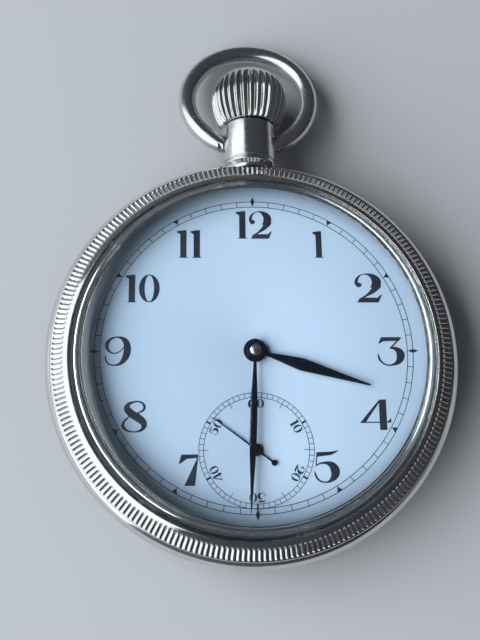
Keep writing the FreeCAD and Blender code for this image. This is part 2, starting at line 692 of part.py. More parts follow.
# balance cock: arm on the back side of the balance and a foot outside it
cock_arm = at(flat("balance_cock_arm", [
    (-2.0, -1.2), (-1.2, -2.1), (1.0, -2.4), (6.9, -3.0), (9.55, -3.0), (9.55, 3.0),
    (6.9, 3.0), (1.0, 2.4), (-1.2, 2.1), (-2.0, 1.2)], 0.6), BALANCE, 1.9, COCK_DEG)
cock_foot = at(flat("balance_cock_foot", [
    (7.15, -3.0), (9.55, -3.0), (9.55, 3.0), (7.15, 3.0)], dim.plate_low - 2.4),
    BALANCE, 2.4, COCK_DEG)
piece(cut(fuse([cock_arm, cock_foot]), [
    rod(0.5, 1.8, 2.6, *BALANCE), rod(0.9, 1.8, 2.3, *COCK_SCREW),
    rod(0.45, 2.2, feet_over, *COCK_SCREW), rod(0.35, 1.8, 2.6, *HAIRSPRING_STUD)],
    "balance_cock"))

piece(group("movement_screws",
            [screw(1.05, 0.42, 0.5, 1.2, *xy, 4.58) for xy in CASE_SCREWS]
            + [screw(0.88, 0.5, 0.45, 3.2, *xy, dim.bridge_out) for xy in BRIDGE_SCREWS]
            + [screw(0.88, 0.4, 0.45, 3.6, *COCK_SCREW, 1.9),
               screw(0.75, 0.3, 0.4, 2.0, *PALLET_SCREW, 3.55)]))

# ================================================================ barrel
barrel_teeth_ring = at(toothed("barrel_teeth_ring", dim.barrel_teeth, dim.barrel_mod, 0.4,
                               bore=8.0), BARREL, 4.5)
barrel_wall = at(turned("barrel_wall", [
    (8.45, 4.3), (8.45, 5.5), (0.83, 5.5), (0.83, 5.36), (8.0, 5.36), (8.0, 4.3)]), BARREL)
piece(fuse([barrel_wall, barrel_teeth_ring], "barrel_drum"))
piece(at(turned("barrel_cover", [(1.26, 4.3), (7.98, 4.3), (7.98, 4.44), (1.26, 4.44)]), BARREL))
piece(at(turned("barrel_arbor", [
    (0.0, 2.78), (1.2, 2.78), (1.2, 4.46), (2.0, 4.46), (2.0, 5.34), (0.8, 5.34), (0.8, 6.15),
    (0.0, 6.15)]), BARREL))


# ================================================================ going train
def pinion(name, leaves, module, z0, z1, centre, phase, shaft):
    """A pinion in one with its arbor: leaves from z0 to z1, and the arbor's turned outline."""
    leaf_ring = at(toothed(name + "_leaves", leaves, module, z1 - z0, **LEAF), centre, z0, phase)
    arbor = at(turned(name + "_arbor", shaft), centre)
    return piece(fuse([leaf_ring, arbor], name))


def train_arbor(radius, top=5.45):
    """The outline of a train arbor with a thin pivot at each end."""
    return [(0.0, 2.86), (0.12, 2.86), (0.12, 3.36), (radius, 3.36), (radius, 4.95),
            (0.12, 4.95), (0.12, top), (0.0, top)]


# Each wheel stands at a free angle; the pinion it drives is turned to mesh with it.
BARREL_PHASE, CENTRE_PHASE, THIRD_PHASE, FOURTH_PHASE = 0.0, 0.0, 3.0, 2.0

pinion("centre_pinion", dim.centre_leaves, dim.barrel_mod, 4.35, 4.95, CENTRE,
       mesh_phase(dim.barrel_teeth, BARREL_PHASE, BARREL, dim.centre_leaves, CENTRE),
       [(0.0, 2.75), (0.35, 2.75), (0.35, 3.76), (0.5, 3.76), (0.5, 6.24), (0.35, 6.24),
        (0.35, 8.95), (0.0, 8.95)])
piece(at(toothed("centre_wheel", dim.centre_teeth, dim.centre_mod, 0.2, bore=0.5,
                 arms=(0.75, 1.6)), CENTRE, 3.9, CENTRE_PHASE))

pinion("third_pinion", dim.third_leaves, dim.centre_mod, 3.8, 4.2, THIRD,
       mesh_phase(dim.centre_teeth, CENTRE_PHASE, CENTRE, dim.third_leaves, THIRD),
       train_arbor(0.3))
piece(at(toothed("third_wheel", dim.third_teeth, dim.third_mod, 0.15, bore=0.3,
                 arms=(0.7, 1.3)), THIRD, 3.45, THIRD_PHASE))

# the fourth arbor runs on through the dial to carry the seconds hand
pinion("fourth_pinion", dim.fourth_leaves, dim.third_mod, 3.36, 3.76, FOURTH,
       mesh_phase(dim.third_teeth, THIRD_PHASE, THIRD, dim.fourth_leaves, FOURTH),
       train_arbor(0.3, top=8.24))
piece(at(toothed("fourth_wheel", dim.fourth_teeth, dim.fourth_mod, 0.15, bore=0.3,
                 arms=(0.65, 1.2)), FOURTH, 4.3, FOURTH_PHASE))

pinion("escape_pinion", dim.escape_leaves, dim.fourth_mod, 4.15, 4.58, ESCAPE,
       mesh_phase(dim.fourth_teeth, FOURTH_PHASE, FOURTH, dim.escape_leaves, ESCAPE),
       train_arbor(0.25))

# escape wheel: fifteen raked club teeth on a light rim with four arms
escape_wheel = new_body("escape_wheel")
tooth_foot = dim.escape_rad - 0.85
disc_with_teeth(escape_wheel, "escape", dim.escape_rad - 0.75, 0.25, 0.15, [
    (tooth_foot, -0.22), (dim.escape_rad - 0.05, 0.28), (dim.escape_rad, 0.52),
    (dim.escape_rad - 0.1, 0.5), (dim.escape_rad - 0.3, 0.34), (tooth_foot, 0.2)],
    dim.escape_teeth)
cut_windows(escape_wheel, "escape", [
    (0.85, 0.25), (1.5, 0.25), (1.42, 0.6), (1.08, 1.08), (0.6, 1.42), (0.25, 1.5),
    (0.25, 0.85), (0.6, 0.6)], 4)
piece(at(escape_wheel, ESCAPE, 4.6, 11.0))

# ================================================================ lever
# Local +X points at the balance. The frame holds the fork and one pallet arm.
fork_frame = flat("pallet_fork_frame", [
    (-0.35, -0.45), (-0.55, -2.0), (-1.15, -2.15), (-1.0, -1.2), (-0.75, -0.1), (-0.28, 0.5),
    (0.9, 0.26), (2.5, 0.2), (2.9, 0.6), (3.35, 0.62), (3.35, 0.24), (2.95, 0.18),
    (2.95, -0.18), (3.35, -0.24), (3.35, -0.62), (2.9, -0.6), (2.5, -0.2), (0.9, -0.26),
    (0.3, -0.45)], 0.15)
fork_arm = flat("pallet_fork_arm", [
    (-0.75, -0.1), (-1.0, 1.2), (-1.15, 2.15), (-0.55, 2.0), (-0.28, 0.5), (0.3, 0.45)], 0.15)
for part in (fork_frame, fork_arm):
    at(part, PALLET, 4.8, LEVER_DEG)
pallet_arbor = at(turned("pallet_arbor_turned", [
    (0.0, 3.92), (0.1, 3.92), (0.1, 4.34), (0.2, 4.34), (0.2, 4.96), (0.1, 4.96), (0.1, 5.4),
    (0.0, 5.4)]), PALLET)
piece(fuse([fork_frame, fork_arm, pallet_arbor], "pallet_fork"))

STONE = [(-1.55, 1.75), (-1.15, 1.55), (-1.15, 1.95), (-1.45, 2.1)]
stones = [at(flat("pallet_stone_" + letter, [(x, side * y) for x, y in STONE], 0.16),
             PALLET, 4.78, LEVER_DEG) for letter, side in (("a", 1), ("b", -1))]
piece(cut(group("stone_pair", stones), [fork_frame, fork_arm], "pallet_stones"))

# ================================================================ balance
rim_in = dim.balance_rad - 0.5
balance_rim = at(turned("balance_rim", [
    (rim_in, 3.0), (dim.balance_rad, 3.0), (dim.balance_rad, 3.7), (rim_in, 3.7)]), BALANCE)
balance_arms = fuse([block(dim.balance_x - 5.8, dim.balance_x + 5.8,
                           dim.balance_y - 0.35, dim.balance_y + 0.35, 3.2, 3.48),
                     rod(0.9, 3.2, 3.48, *BALANCE)])
piece(cut(fuse([balance_rim, balance_arms]), [rod(0.35, 3.0, 3.8, *BALANCE)], "balance_wheel"))
piece(group("balance_screws", [
    rod_radial(0.28, 0.5, dim.balance_rad.value, 15 + 30 * k, 3.35, BALANCE)
    for k in range(12)]))
piece(at(turned("balance_staff", [
    (0.0, 2.02), (0.08, 2.02), (0.08, 2.5), (0.2, 2.5), (0.2, 2.96), (0.35, 2.96), (0.35, 3.9),
    (0.25, 3.9), (0.25, 4.92), (0.08, 4.92), (0.08, 5.4), (0.0, 5.4)]), BALANCE))

# roller and the jewel that stands through it
IMPULSE_RAD = 0.16
roller_disc = at(turned("roller_disc", [(0.25, 4.42), (1.1, 4.42), (1.1, 4.6), (0.25, 4.6)]),
                 BALANCE)
piece(cut(roller_disc, [rod(IMPULSE_RAD, 4.3, 4.7, *IMPULSE_JEWEL)], "roller"))
impulse_jewel = piece(rod(IMPULSE_RAD, 4.42, 4.76, *IMPULSE_JEWEL))
impulse_jewel.Label = "impulse_jewel"

piece(at(turned("hairspring_collet", [(0.2, 2.56), (0.55, 2.56), (0.55, 2.94), (0.2, 2.94)]),
         BALANCE))


def spiral(name, start_rad, end_rad, turns, thick, z0, z1, start_deg, centre):
    """A flat spiral spring: a ribbon between two parallel spirals, standing from z0 to z1."""
    x, y = number(centre[0]), number(centre[1])
    steps = turns * 20
    inner_points, outer_points = [], []
    for k in range(steps + 1):
        angle = math.radians(start_deg) + 2 * math.pi * turns * k / steps
        middle = start_rad + (end_rad - start_rad) * k / steps
        for points, radius in ((inner_points, middle - thick / 2),
                               (outer_points, middle + thick / 2)):
            points.append(Vector(x + radius * math.cos(angle), y + radius * math.sin(angle), z0))
    inner, outer = Part.BSplineCurve(), Part.BSplineCurve()
    inner.interpolate(inner_points)
    outer.interpolate(outer_points)
    wire = Part.Wire([inner.toShape(),
                      Part.LineSegment(inner_points[-1], outer_points[-1]).toShape(),
                      outer.toShape().reversed(),
                      Part.LineSegment(outer_points[0], inner_points[0]).toShape()])
    spring = doc.addObject("Part::Feature", name)
    spring.Shape = Part.Face(wire).extrude(Vector(0, 0, z1 - z0))
    return spring


piece(spiral("mainspring", start_rad=2.35, end_rad=7.75, turns=8, thick=0.16,
             z0=4.52, z1=5.28, start_deg=20.0, centre=BARREL))
hairspring = piece(spiral("hairspring", start_rad=0.7, end_rad=4.0, turns=9, thick=0.08,
                          z0=2.62, z1=2.82, start_deg=10.0, centre=BALANCE))
piece(cut(rod(0.35, 2.05, 2.9, *HAIRSPRING_STUD), [hairspring], "hairspring_stud"))

# regulator on the cock, about the balance axis
regulator_lever = flat("regulator_lever",
                       mirrored([(-0.35, 1.3), (-0.3, 4.2), (-0.1, 5.2)]), 0.25)
regulator = cut(fuse([regulator_lever, rod(1.5, 0.0, 0.25)]), [rod(0.75, -0.2, 0.5)], "regulator")
piece(at(regulator, BALANCE, 1.62, COCK_DEG + 90.0))

# jewels: ring stones in plate, bridge and cocks, then the two cap stones of the balance
RING_JEWELS = [   # radius, hole radius, low z, top z, axis
    (0.55, JEWEL_HOLE, 2.8, 3.28, THIRD), (0.55, JEWEL_HOLE, 5.02, 5.5, THIRD),
    (0.55, JEWEL_HOLE, 2.8, 3.28, FOURTH), (0.55, JEWEL_HOLE, 5.02, 5.5, FOURTH),
    (0.4, JEWEL_HOLE, 2.8, 3.28, ESCAPE), (0.4, JEWEL_HOLE, 5.02, 5.48, ESCAPE),
    (0.35, 0.13, 3.86, 4.28, PALLET), (0.4, 0.13, 5.02, 5.48, PALLET),
    (0.5, 0.11, 2.1, 2.46, BALANCE), (0.5, 0.11, 5.02, 5.42, BALANCE),
]
ring_jewels = [cut(rod(radius, low, top, *axis), [rod(hole, low - 0.1, top + 0.1, *axis)])
               for radius, hole, low, top, axis in RING_JEWELS]
piece(group("jewels", ring_jewels + [rod(0.5, 1.78, 1.98, *BALANCE),
                                     rod(0.5, 5.44, 5.7, *BALANCE)]))

# ================================================================ winding work
RATCHET_PHASE = 0.0
crown_wheel_phase = mesh_phase(dim.ratchet_teeth, RATCHET_PHASE, BARREL,
                               dim.crown_wheel_teeth, CROWN_WHEEL)
piece(at(toothed("ratchet_wheel", dim.ratchet_teeth, dim.wind_mod, 0.4, bore=0.9),
         BARREL, 2.35, RATCHET_PHASE))
piece(at(toothed("crown_wheel", dim.crown_wheel_teeth, dim.wind_mod, 0.4, bore=0.65),
         CROWN_WHEEL, 2.35, crown_wheel_phase))
ratchet_slot = block(dim.barrel_x - 0.15, dim.barrel_x + 0.15,
                     dim.barrel_y - 2.2, dim.barrel_y + 2.2, 1.9, 2.15)
piece(fuse([cut(rod(1.9, 1.98, 2.35, *BARREL), [ratchet_slot]),
            rod(0.9, 2.3, 2.78, *BARREL)], "ratchet_screw"))

# click: lever whose beak stands just clear of the ratchet's tooth tips
piece(at(flat("click", [
    (-1.62, -0.5), (-1.2, -1.0), (-0.3, -0.9), (0.6, -0.75), (0.85, -0.2), (0.8, 0.5),
    (0.2, 0.85), (-0.6, 0.6)], 0.35, hole=0.43), CLICK, 2.4))
click_spring_arm = at(flat("click_spring_arm", [
    (3.9, 4.6), (3.5, 5.3), (2.4, 5.75), (1.5, 5.85), (1.5, 5.68), (2.35, 5.58), (3.35, 5.15),
    (3.7, 4.4)], 0.3), CENTRE, 2.44)
piece(cut(fuse([click_spring_arm, rod(0.75, 2.44, 2.74, *CLICK_SPRING_SCREW)]),
          [rod(0.35, 2.3, 2.9, *CLICK_SPRING_SCREW)], "click_spring"))

# ================================================================ keyless work on the stem axis
# stem: pilot, thin shaft, bearing with the setting lever's groove, and out to the crown
piece(turned_y("stem", [
    (0.0, 10.9), (0.4, 10.9), (0.4, 12.3), (dim.stem_inner, 12.4), (dim.stem_inner, 18.6),
    (dim.stem_rad, 18.7), (dim.stem_rad, 18.95), (0.42, 18.95), (0.42, 19.65),
    (dim.stem_rad, 19.65), (dim.stem_rad, 35.8), (0.0, 35.8)]))

# winding pinion: turned to the crown wheel's teeth, as if meshed from far along +Y
winding_phase = 180.0 + mesh_phase(dim.crown_wheel_teeth, crown_wheel_phase, CROWN_WHEEL,
                                   dim.winding_teeth, (0.0, 1000.0))
winding_mod = dim.winding_rad * 2 / (dim.winding_teeth + 1.5)
winding_pinion = toothed("winding_pinion", dim.winding_teeth, winding_mod, 0.9,
                         bore=SHAFT_BORE, addendum=0.75, dedendum=1.1)
piece(place(winding_pinion, 0, 17.65, dim.stem_axis, Z_TO_Y.multiply(about_z(winding_phase))))

# clutch: grooved drum, setting teeth at its inner end, block teeth at its outer end
clutch_turned = turned_y("clutch_turned", [
    (SHAFT_BORE, 13.1), (1.25, 13.1), (1.25, 13.5), (dim.clutch_rad, 13.5),
    (dim.clutch_rad, 14.7), (1.1, 14.7), (1.1, 15.3), (dim.clutch_rad, 15.3),
    (dim.clutch_rad, 16.4), (SHAFT_BORE, 16.4)])
setting_teeth = toothed("clutch_setting_teeth", 12, 0.23, 0.4, bore=SHAFT_BORE,
                        addendum=0.9, dedendum=1.0)
place(setting_teeth, 0, 12.72, dim.stem_axis, Z_TO_Y)


def clutch_tooth(deg):
    """A block tooth on the clutch's outer end face, at an angle about the stem."""
    width = 0.35
    tooth = primitive("Box", Length=0.55, Width=width, Height=0.35)
    turn = FreeCAD.Placement(Vector(0, 16.3, dim.stem_axis.value),
                             Z_TO_Y.multiply(about_z(deg)))
    shift = FreeCAD.Placement(Vector(0.95, -width / 2, 0), Rotation())
    tooth.Placement = turn.multiply(shift)
    return tooth


piece(fuse([clutch_turned, setting_teeth] + [clutch_tooth(45 * k) for k in range(8)], "clutch"))

# setting lever, yoke and their cover spring, on the dial side beside the stem
setting_lever = at(flat("setting_lever_plate", [
    (-3.95, -0.4), (-3.4, -0.42), (-0.4, -0.45), (0.55, -2.2), (1.2, -2.15), (1.25, -1.7),
    (0.75, 0.3), (0.3, 0.75), (-0.4, 0.6), (-0.9, 0.42), (-3.4, 0.42), (-3.95, 0.4)], 0.4),
    SETTING_LEVER, 6.05)
piece(fuse([setting_lever, rod(0.28, 5.27, 6.1, 0.0, SETTING_LEVER[1]),
            rod(0.37, 5.4, 6.1, *SETTING_LEVER)], "setting_lever"))
yoke = at(flat("yoke_plate", [
    (-5.1, 1.25), (-1.2, -0.35), (0.0, -0.8), (0.7, -0.4), (0.8, 0.4), (0.35, 1.1),
    (-0.45, 2.75), (-1.05, 2.95), (-1.2, 2.5), (-0.7, 0.9), (-1.2, 0.65), (-4.75, 1.75),
    (-5.1, 1.75)], 0.4), YOKE, 6.05)
piece(fuse([yoke, block(1.42, 1.78, 14.84, 15.16, 4.95, 6.1), rod(0.37, 5.4, 6.1, *YOKE),
            block(1.42, 1.95, 14.84, 15.7, 6.05, 6.45)], "yoke"))
setting_spring = at(flat("setting_spring_plate", [
    (2.8, 18.6), (2.9, 17.6), (5.6, 13.6), (7.2, 13.3), (8.7, 15.9), (8.7, 18.2), (7.6, 18.75),
    (5.0, 18.75)], 0.22), CENTRE, 6.62)
piece(cut(setting_spring, [rod(0.35, 6.5, 7.0, *SETTING_SPRING_SCREW)], "setting_spring"))
piece(group("winding_screws", [
    screw(1.5, 0.35, 0.6, 0.75, *CROWN_WHEEL, 1.98, slot=0.25),
    screw(0.75, 0.3, 0.4, 1.1, *CLICK, 2.08),
    screw(0.6, 0.28, 0.35, 1.1, *CLICK_SPRING_SCREW, 2.16),
    screw(0.6, 0.2, 0.35, 1.5, *SETTING_SPRING_SCREW, 7.04, up=True)]))

# ================================================================ motion work under the dial
CANNON_PHASE, MINUTE_LEAVES_PHASE = 90.0, 270.0
STUD_BORE = 0.33

cannon_leaves = at(toothed("cannon_leaves_ring", dim.cannon_leaves, dim.motion_mod, 0.4,
                           bore=0.35, **LEAF), CENTRE, 6.27, CANNON_PHASE)
cannon_pipe = turned("cannon_pipe", [
    (0.35, 6.27), (0.6, 6.27), (0.6, 6.6), (0.55, 6.7), (0.55, 9.04), (0.35, 9.04)])
piece(fuse([cannon_leaves, cannon_pipe], "cannon_pinion"))

minute_phase = mesh_phase(dim.cannon_leaves, CANNON_PHASE, CENTRE, dim.minute_teeth, MINUTE)
minute_disc = at(toothed("minute_wheel_disc", dim.minute_teeth, dim.motion_mod, 0.24,
                         bore=STUD_BORE), MINUTE, 6.28, minute_phase)
minute_leaves = at(toothed("minute_wheel_leaves", dim.minute_leaves, dim.motion_mod, 0.52,
                           bore=STUD_BORE, **LEAF), MINUTE, 6.48, MINUTE_LEAVES_PHASE)
piece(fuse([minute_disc, minute_leaves], "minute_wheel"))

hour_phase = mesh_phase(dim.minute_leaves, MINUTE_LEAVES_PHASE, MINUTE, dim.hour_teeth, CENTRE)
hour_disc = at(toothed("hour_wheel_disc", dim.hour_teeth, dim.motion_mod, 0.22, bore=0.6),
               CENTRE, 6.76, hour_phase)
hour_pipe = turned("hour_pipe", [(0.6, 6.76), (0.9, 6.76), (0.9, 8.6), (0.6, 8.6)])
piece(fuse([hour_disc, hour_pipe], "hour_wheel"))

setting_phase = mesh_phase(dim.minute_teeth, minute_phase, MINUTE, dim.setting_teeth, SETTING)
piece(at(toothed("setting_wheel", dim.setting_teeth, dim.motion_mod, 0.38, bore=STUD_BORE),
         SETTING, 6.28, setting_phase))

# ---------------------------------------------------------------- recompute, check and write
doc.recompute()
failed = [o.Name for o in doc.Objects if "Invalid" in o.State or "Error" in o.State]
if failed:
    raise SystemExit("failed objects: %s" % failed)
labels = set()
for obj in PIECES:
    if obj.Label in labels:
        raise SystemExit("two pieces are called " + obj.Label)
    labels.add(obj.Label)
    shape = obj.Shape
    if shape.isNull() or not shape.isValid() or shape.Volume <= 0 or not shape.Solids:
        raise SystemExit("bad shape: " + obj.Label)
os.makedirs("parts", exist_ok=True)
for obj in PIECES:
    obj.Shape.exportStep(os.path.join("parts", obj.Label + ".step"))
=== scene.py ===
import math

import bmesh
import bpy
import numpy as np
from mathutils import Matrix, Vector
from mathutils.geometry import delaunay_2d_cdt


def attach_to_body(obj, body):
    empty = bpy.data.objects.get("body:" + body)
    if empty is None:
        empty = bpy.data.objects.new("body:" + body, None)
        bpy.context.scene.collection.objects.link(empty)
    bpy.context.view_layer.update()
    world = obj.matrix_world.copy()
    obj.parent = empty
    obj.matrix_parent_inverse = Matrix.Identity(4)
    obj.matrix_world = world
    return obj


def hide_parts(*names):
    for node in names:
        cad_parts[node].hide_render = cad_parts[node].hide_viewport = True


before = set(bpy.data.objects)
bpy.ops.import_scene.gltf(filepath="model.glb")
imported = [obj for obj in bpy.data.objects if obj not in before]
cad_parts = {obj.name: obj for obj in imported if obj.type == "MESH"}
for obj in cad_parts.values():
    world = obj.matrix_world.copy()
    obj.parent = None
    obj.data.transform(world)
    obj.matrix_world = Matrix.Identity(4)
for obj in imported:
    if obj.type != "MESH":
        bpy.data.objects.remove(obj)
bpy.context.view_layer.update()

# Open face pocket watch, lying on its back. Lengths are millimetres in the CAD frame, with the
# dial's axis on Z; every mesh is scaled to metres when it is made.
# +X is towards 3 o'clock, +Y towards 12 o'clock and the pendant, +Z out of the dial.
MM = 0.001
STEM_Z = 4.8        # height of the axis shared by stem, pendant and crown
CROWN_Y = 31.8      # inner end of the crown
BOW_Y = 29.2        # the bow's pivot
DIAL_Z = 8.0        # upper face of the dial
SUB_Y = -12.04      # centre of the seconds dial
HOUR_DEG, MINUTE_DEG, SECONDS_DEG = 107.2, 182.4, 306.9     # clockwise from 12 o'clock


# ---------------------------------------------------------------- materials
class Nodes:
    """The cleared node tree of a material or world, with helpers that add to it."""

    def __init__(self, owner, coords="Object"):
        self.owner = owner
        owner.use_nodes = True
        self.tree = owner.node_tree
        self.tree.nodes.clear()
        self.coords = self.add("ShaderNodeTexCoord").outputs[coords]

    def put(self, socket, value):
        """Link a socket, or set a value. Colours are given without alpha."""
        if isinstance(value, bpy.types.NodeSocket):
            self.tree.links.new(value, socket)
        elif socket.type == "RGBA":
            socket.default_value = (*value, 1.0)
        else:
            socket.default_value = value

    def add(self, kind, *values, settings=None, **named):
        """Add a node. values fill its first inputs in order; named ones go by input name."""
        node = self.tree.nodes.new(kind)
        for key, value in (settings or {}).items():
            setattr(node, key, value)
        for i, value in enumerate(values):
            self.put(node.inputs[i], value)
        for key, value in named.items():
            self.put(node.inputs[key.replace("_", " ")], value)
        return node

    def noise(self, scale, detail=3.0, rough=0.55, coords=None):
        return self.add("ShaderNodeTexNoise", Vector=coords or self.coords, Scale=scale,
                        Detail=detail, Roughness=rough).outputs["Fac"]

    def stretched(self, scale, turn):
        return self.add("ShaderNodeMapping", Vector=self.coords, Scale=scale,
                        Rotation=turn).outputs["Vector"]

    def remap(self, value, span, to=(0.0, 1.0), smooth=False):
        settings = {"interpolation_type": "SMOOTHSTEP"} if smooth else None
        return self.add("ShaderNodeMapRange", settings=settings, Value=value, From_Min=span[0],
                        From_Max=span[1], To_Min=to[0], To_Max=to[1]).outputs["Result"]

    def math(self, operation, a, b=0.0):
        return self.add("ShaderNodeMath", a, b, settings={"operation": operation}).outputs[0]

    def mix(self, factor, a, b):
        node = self.add("ShaderNodeMix", factor, settings={"data_type": "RGBA"})
        self.put(node.inputs[6], a)
        self.put(node.inputs[7], b)
        return node.outputs[2]

    def mix_shader(self, factor, a, b):
        return self.add("ShaderNodeMixShader", factor, a.outputs[0], b.outputs[0])

    def bump(self, height, strength, distance):
        return self.add("ShaderNodeBump", Height=height, Strength=strength,
                        Distance=distance).outputs["Normal"]

    def radius(self):
        """Distance from the Z axis, in metres."""
        axes = self.add("ShaderNodeSeparateXYZ", Vector=self.coords)
        dx, dy = [self.math("SUBTRACT", axes.outputs[i], 0.0) for i in (0, 1)]
        squares = [self.math("MULTIPLY", d, d) for d in (dx, dy)]
        return self.math("SQRT", self.math("ADD", *squares))

    def finish(self, shader, kind="Material"):
        self.add("ShaderNodeOutput" + kind, Surface=shader.outputs[0])
        return self.owner

    def principled(self, **named):
        return self.finish(self.add("ShaderNodeBsdfPrincipled", **named))


def new_material(name):
    return Nodes(bpy.data.materials.new(name))


def metal(name, light, dark, rough, size, scratch, bump=0.04, metallic=1.0):
    """Metal with cloudy handling marks, hairline scratches and a little grain.

    rough is (light areas, dark areas), size the cloud size in mm, scratch the added roughness.
    """
    g = new_material(name)
    cloud = g.noise(scale=1000.0 / size, detail=4.0, rough=0.6)
    fine = g.noise(scale=5200.0, detail=2.0, rough=0.6)
    drawn_out = g.stretched(scale=(1.0, 9.0, 1.0), turn=(0.3, 0.2, 0.6))
    line = g.noise(scale=620.0, detail=2.0, rough=0.5, coords=drawn_out)
    hair = g.remap(line, span=(0.60, 0.70))
    colour = g.mix(g.remap(cloud, span=(0.30, 0.70)), dark, light)
    roughness = g.math("ADD", g.remap(cloud, span=(0.32, 0.68), to=(rough[1], rough[0])),
                       g.math("MULTIPLY", hair, scratch))
    relief = g.math("ADD", g.math("MULTIPLY", fine, 0.5), g.math("MULTIPLY", hair, 0.5))
    return g.principled(Base_Color=colour, Metallic=metallic, Roughness=roughness,
                        Normal=g.bump(relief, strength=bump, distance=0.00002))


def enamel():
    """White glossy enamel with the cool blue cast of daylight painted into its colour, a little
    wavy, with sparse dark specks.
    """
    g = new_material("dial_enamel_glossy")
    cloud = g.noise(scale=90.0, detail=3.0, rough=0.5)
    grain = g.noise(scale=1400.0, detail=2.0, rough=0.5)
    # painted light: the pale blue is the cool cast of daylight, given to the white enamel as its
    # colour
    colour = g.mix(g.remap(cloud, span=(0.30, 0.70)), (0.62, 0.785, 0.94), (0.65, 0.81, 0.95))
    speck = g.add("ShaderNodeTexVoronoi", Vector=g.coords, Scale=260.0, Randomness=1.0)
    keep = g.remap(g.noise(scale=310.0, detail=1.0), span=(0.60, 0.64))
    dot = g.math("MULTIPLY", g.remap(speck.outputs["Distance"], span=(0.035, 0.020)), keep)
    colour = g.mix(g.math("MULTIPLY", dot, 0.35), colour, (0.38, 0.36, 0.36))
    wave = g.math("ADD", cloud, g.math("MULTIPLY", grain, 0.05))
    return g.principled(Base_Color=colour,
                        Roughness=g.remap(grain, span=(0.2, 0.8), to=(0.16, 0.24)),
                        Coat_Weight=0.35, Coat_Roughness=0.04,
                        Normal=g.bump(wave, strength=0.05, distance=0.0003))


def ink():
    g = new_material("dial_printing")
    cloud = g.noise(scale=700.0, detail=3.0, rough=0.6)
    colour = g.mix(g.remap(cloud, span=(0.3, 0.7)), (0.006, 0.008, 0.016), (0.014, 0.018, 0.032))
    relief = g.noise(scale=9000.0, detail=1.0)
    return g.principled(Base_Color=colour,
                        Roughness=g.remap(cloud, span=(0.3, 0.7), to=(0.38, 0.52)),
                        Normal=g.bump(relief, strength=0.05, distance=0.000004))


def dome_glass():
    """Clear dome, green-grey and scuffed at its rim; light passes through, dimmed by the rim."""
    g = new_material("glass_dome_clear")
    radius = g.radius()
    rim = g.remap(radius, span=(0.0205, 0.0222), smooth=True)
    colour = g.mix(rim, (0.985, 0.995, 0.995), (0.80, 0.86, 0.83))
    drawn_out = g.stretched(scale=(1.0, 16.0, 1.0), turn=(0.0, 0.0, 0.9))
    line = g.noise(scale=420.0, detail=2.0, rough=0.5, coords=drawn_out)
    hair = g.remap(line, span=(0.66, 0.72))
    scuff = g.math("MULTIPLY", g.remap(g.noise(scale=260.0, detail=2.0), span=(0.62, 0.70)),
                   g.remap(radius, span=(0.0212, 0.0222)))
    worn = g.math("ADD", g.math("MULTIPLY", scuff, 0.20), g.math("MULTIPLY", rim, 0.10))
    glass = g.add("ShaderNodeBsdfPrincipled", Base_Color=colour,
                  Roughness=g.math("ADD", g.math("MULTIPLY", hair, 0.02), worn),
                  IOR=1.49, Transmission_Weight=1.0,
                  Normal=g.bump(hair, strength=0.02, distance=0.00001))
    shade_rim = g.remap(radius, span=(0.0196, 0.0208), smooth=True)
    clear = g.add("ShaderNodeBsdfTransparent",
                  Color=g.mix(shade_rim, (0.97, 0.98, 0.985), (0.16, 0.18, 0.19)))
    path = g.add("ShaderNodeLightPath")
    return g.finish(g.mix_shader(path.outputs["Is Shadow Ray"], glass, clear))


def gilt():
    """Movement plates: gilt with a fine frosted grain and soft parallel stripes."""
    g = new_material("plate_gilt")
    wave = g.add("ShaderNodeTexWave", Vector=g.coords, Scale=90.0, Distortion=0.0,
                 settings={"wave_type": "BANDS", "bands_direction": "DIAGONAL"}).outputs["Fac"]
    grain = g.noise(scale=3800.0, detail=3.0, rough=0.7)
    tone = g.math("ADD", g.math("MULTIPLY", wave, 0.55), g.math("MULTIPLY", grain, 0.45))
    colour = g.mix(tone, (0.62, 0.53, 0.34), (0.80, 0.70, 0.46))
    relief = g.math("ADD", grain, wave)
    return g.principled(Base_Color=colour, Metallic=1.0,
                        Roughness=g.remap(wave, span=(0.0, 1.0), to=(0.22, 0.34)),
                        Normal=g.bump(relief, strength=0.10, distance=0.00002))


def ruby():
    g = new_material("ruby_jewel")
    cloud = g.noise(scale=1500.0, detail=2.0, rough=0.5)
    colour = g.mix(g.remap(cloud, span=(0.3, 0.7)), (0.42, 0.010, 0.045), (0.62, 0.02, 0.09))
    return g.principled(Base_Color=colour, Coat_Weight=0.6,
                        Roughness=g.remap(cloud, span=(0.3, 0.7), to=(0.05, 0.12)))


def pale_floor():
    g = new_material("pale_floor")
    cloud = g.noise(scale=6.0, detail=3.0, rough=0.5)
    colour = g.mix(cloud, (0.37, 0.37, 0.36), (0.40, 0.40, 0.39))
    relief = g.noise(scale=500.0, detail=3.0)
    return g.principled(Base_Color=colour, Roughness=0.7, Specular_IOR_Level=0.2,
                        Normal=g.bump(relief, strength=0.04, distance=0.0003))


NICKEL = metal("case_nickel_polished", light=(0.78, 0.775, 0.76), dark=(0.66, 0.66, 0.65),
               rough=(0.07, 0.13), size=5.0, scratch=0.10)
NICKEL_SATIN = metal("case_nickel_satin", light=(0.76, 0.755, 0.74), dark=(0.64, 0.64, 0.63),
                     rough=(0.17, 0.24), size=4.0, scratch=0.12)
NICKEL_REED = metal("case_nickel_reeded", light=(0.76, 0.755, 0.74), dark=(0.62, 0.62, 0.61),
                    rough=(0.09, 0.17), size=3.0, scratch=0.05)
NICKEL_CROWN = metal("case_nickel_crown", light=(0.74, 0.735, 0.72), dark=(0.56, 0.56, 0.55),
                     rough=(0.10, 0.20), size=2.0, scratch=0.08)
GLASS = dome_glass()
ENAMEL = enamel()
INK = ink()
BLUED = metal("hands_blued_black", light=(0.020, 0.024, 0.038), dark=(0.008, 0.010, 0.018),
              rough=(0.18, 0.32), size=2.0, scratch=0.1, metallic=0.75)
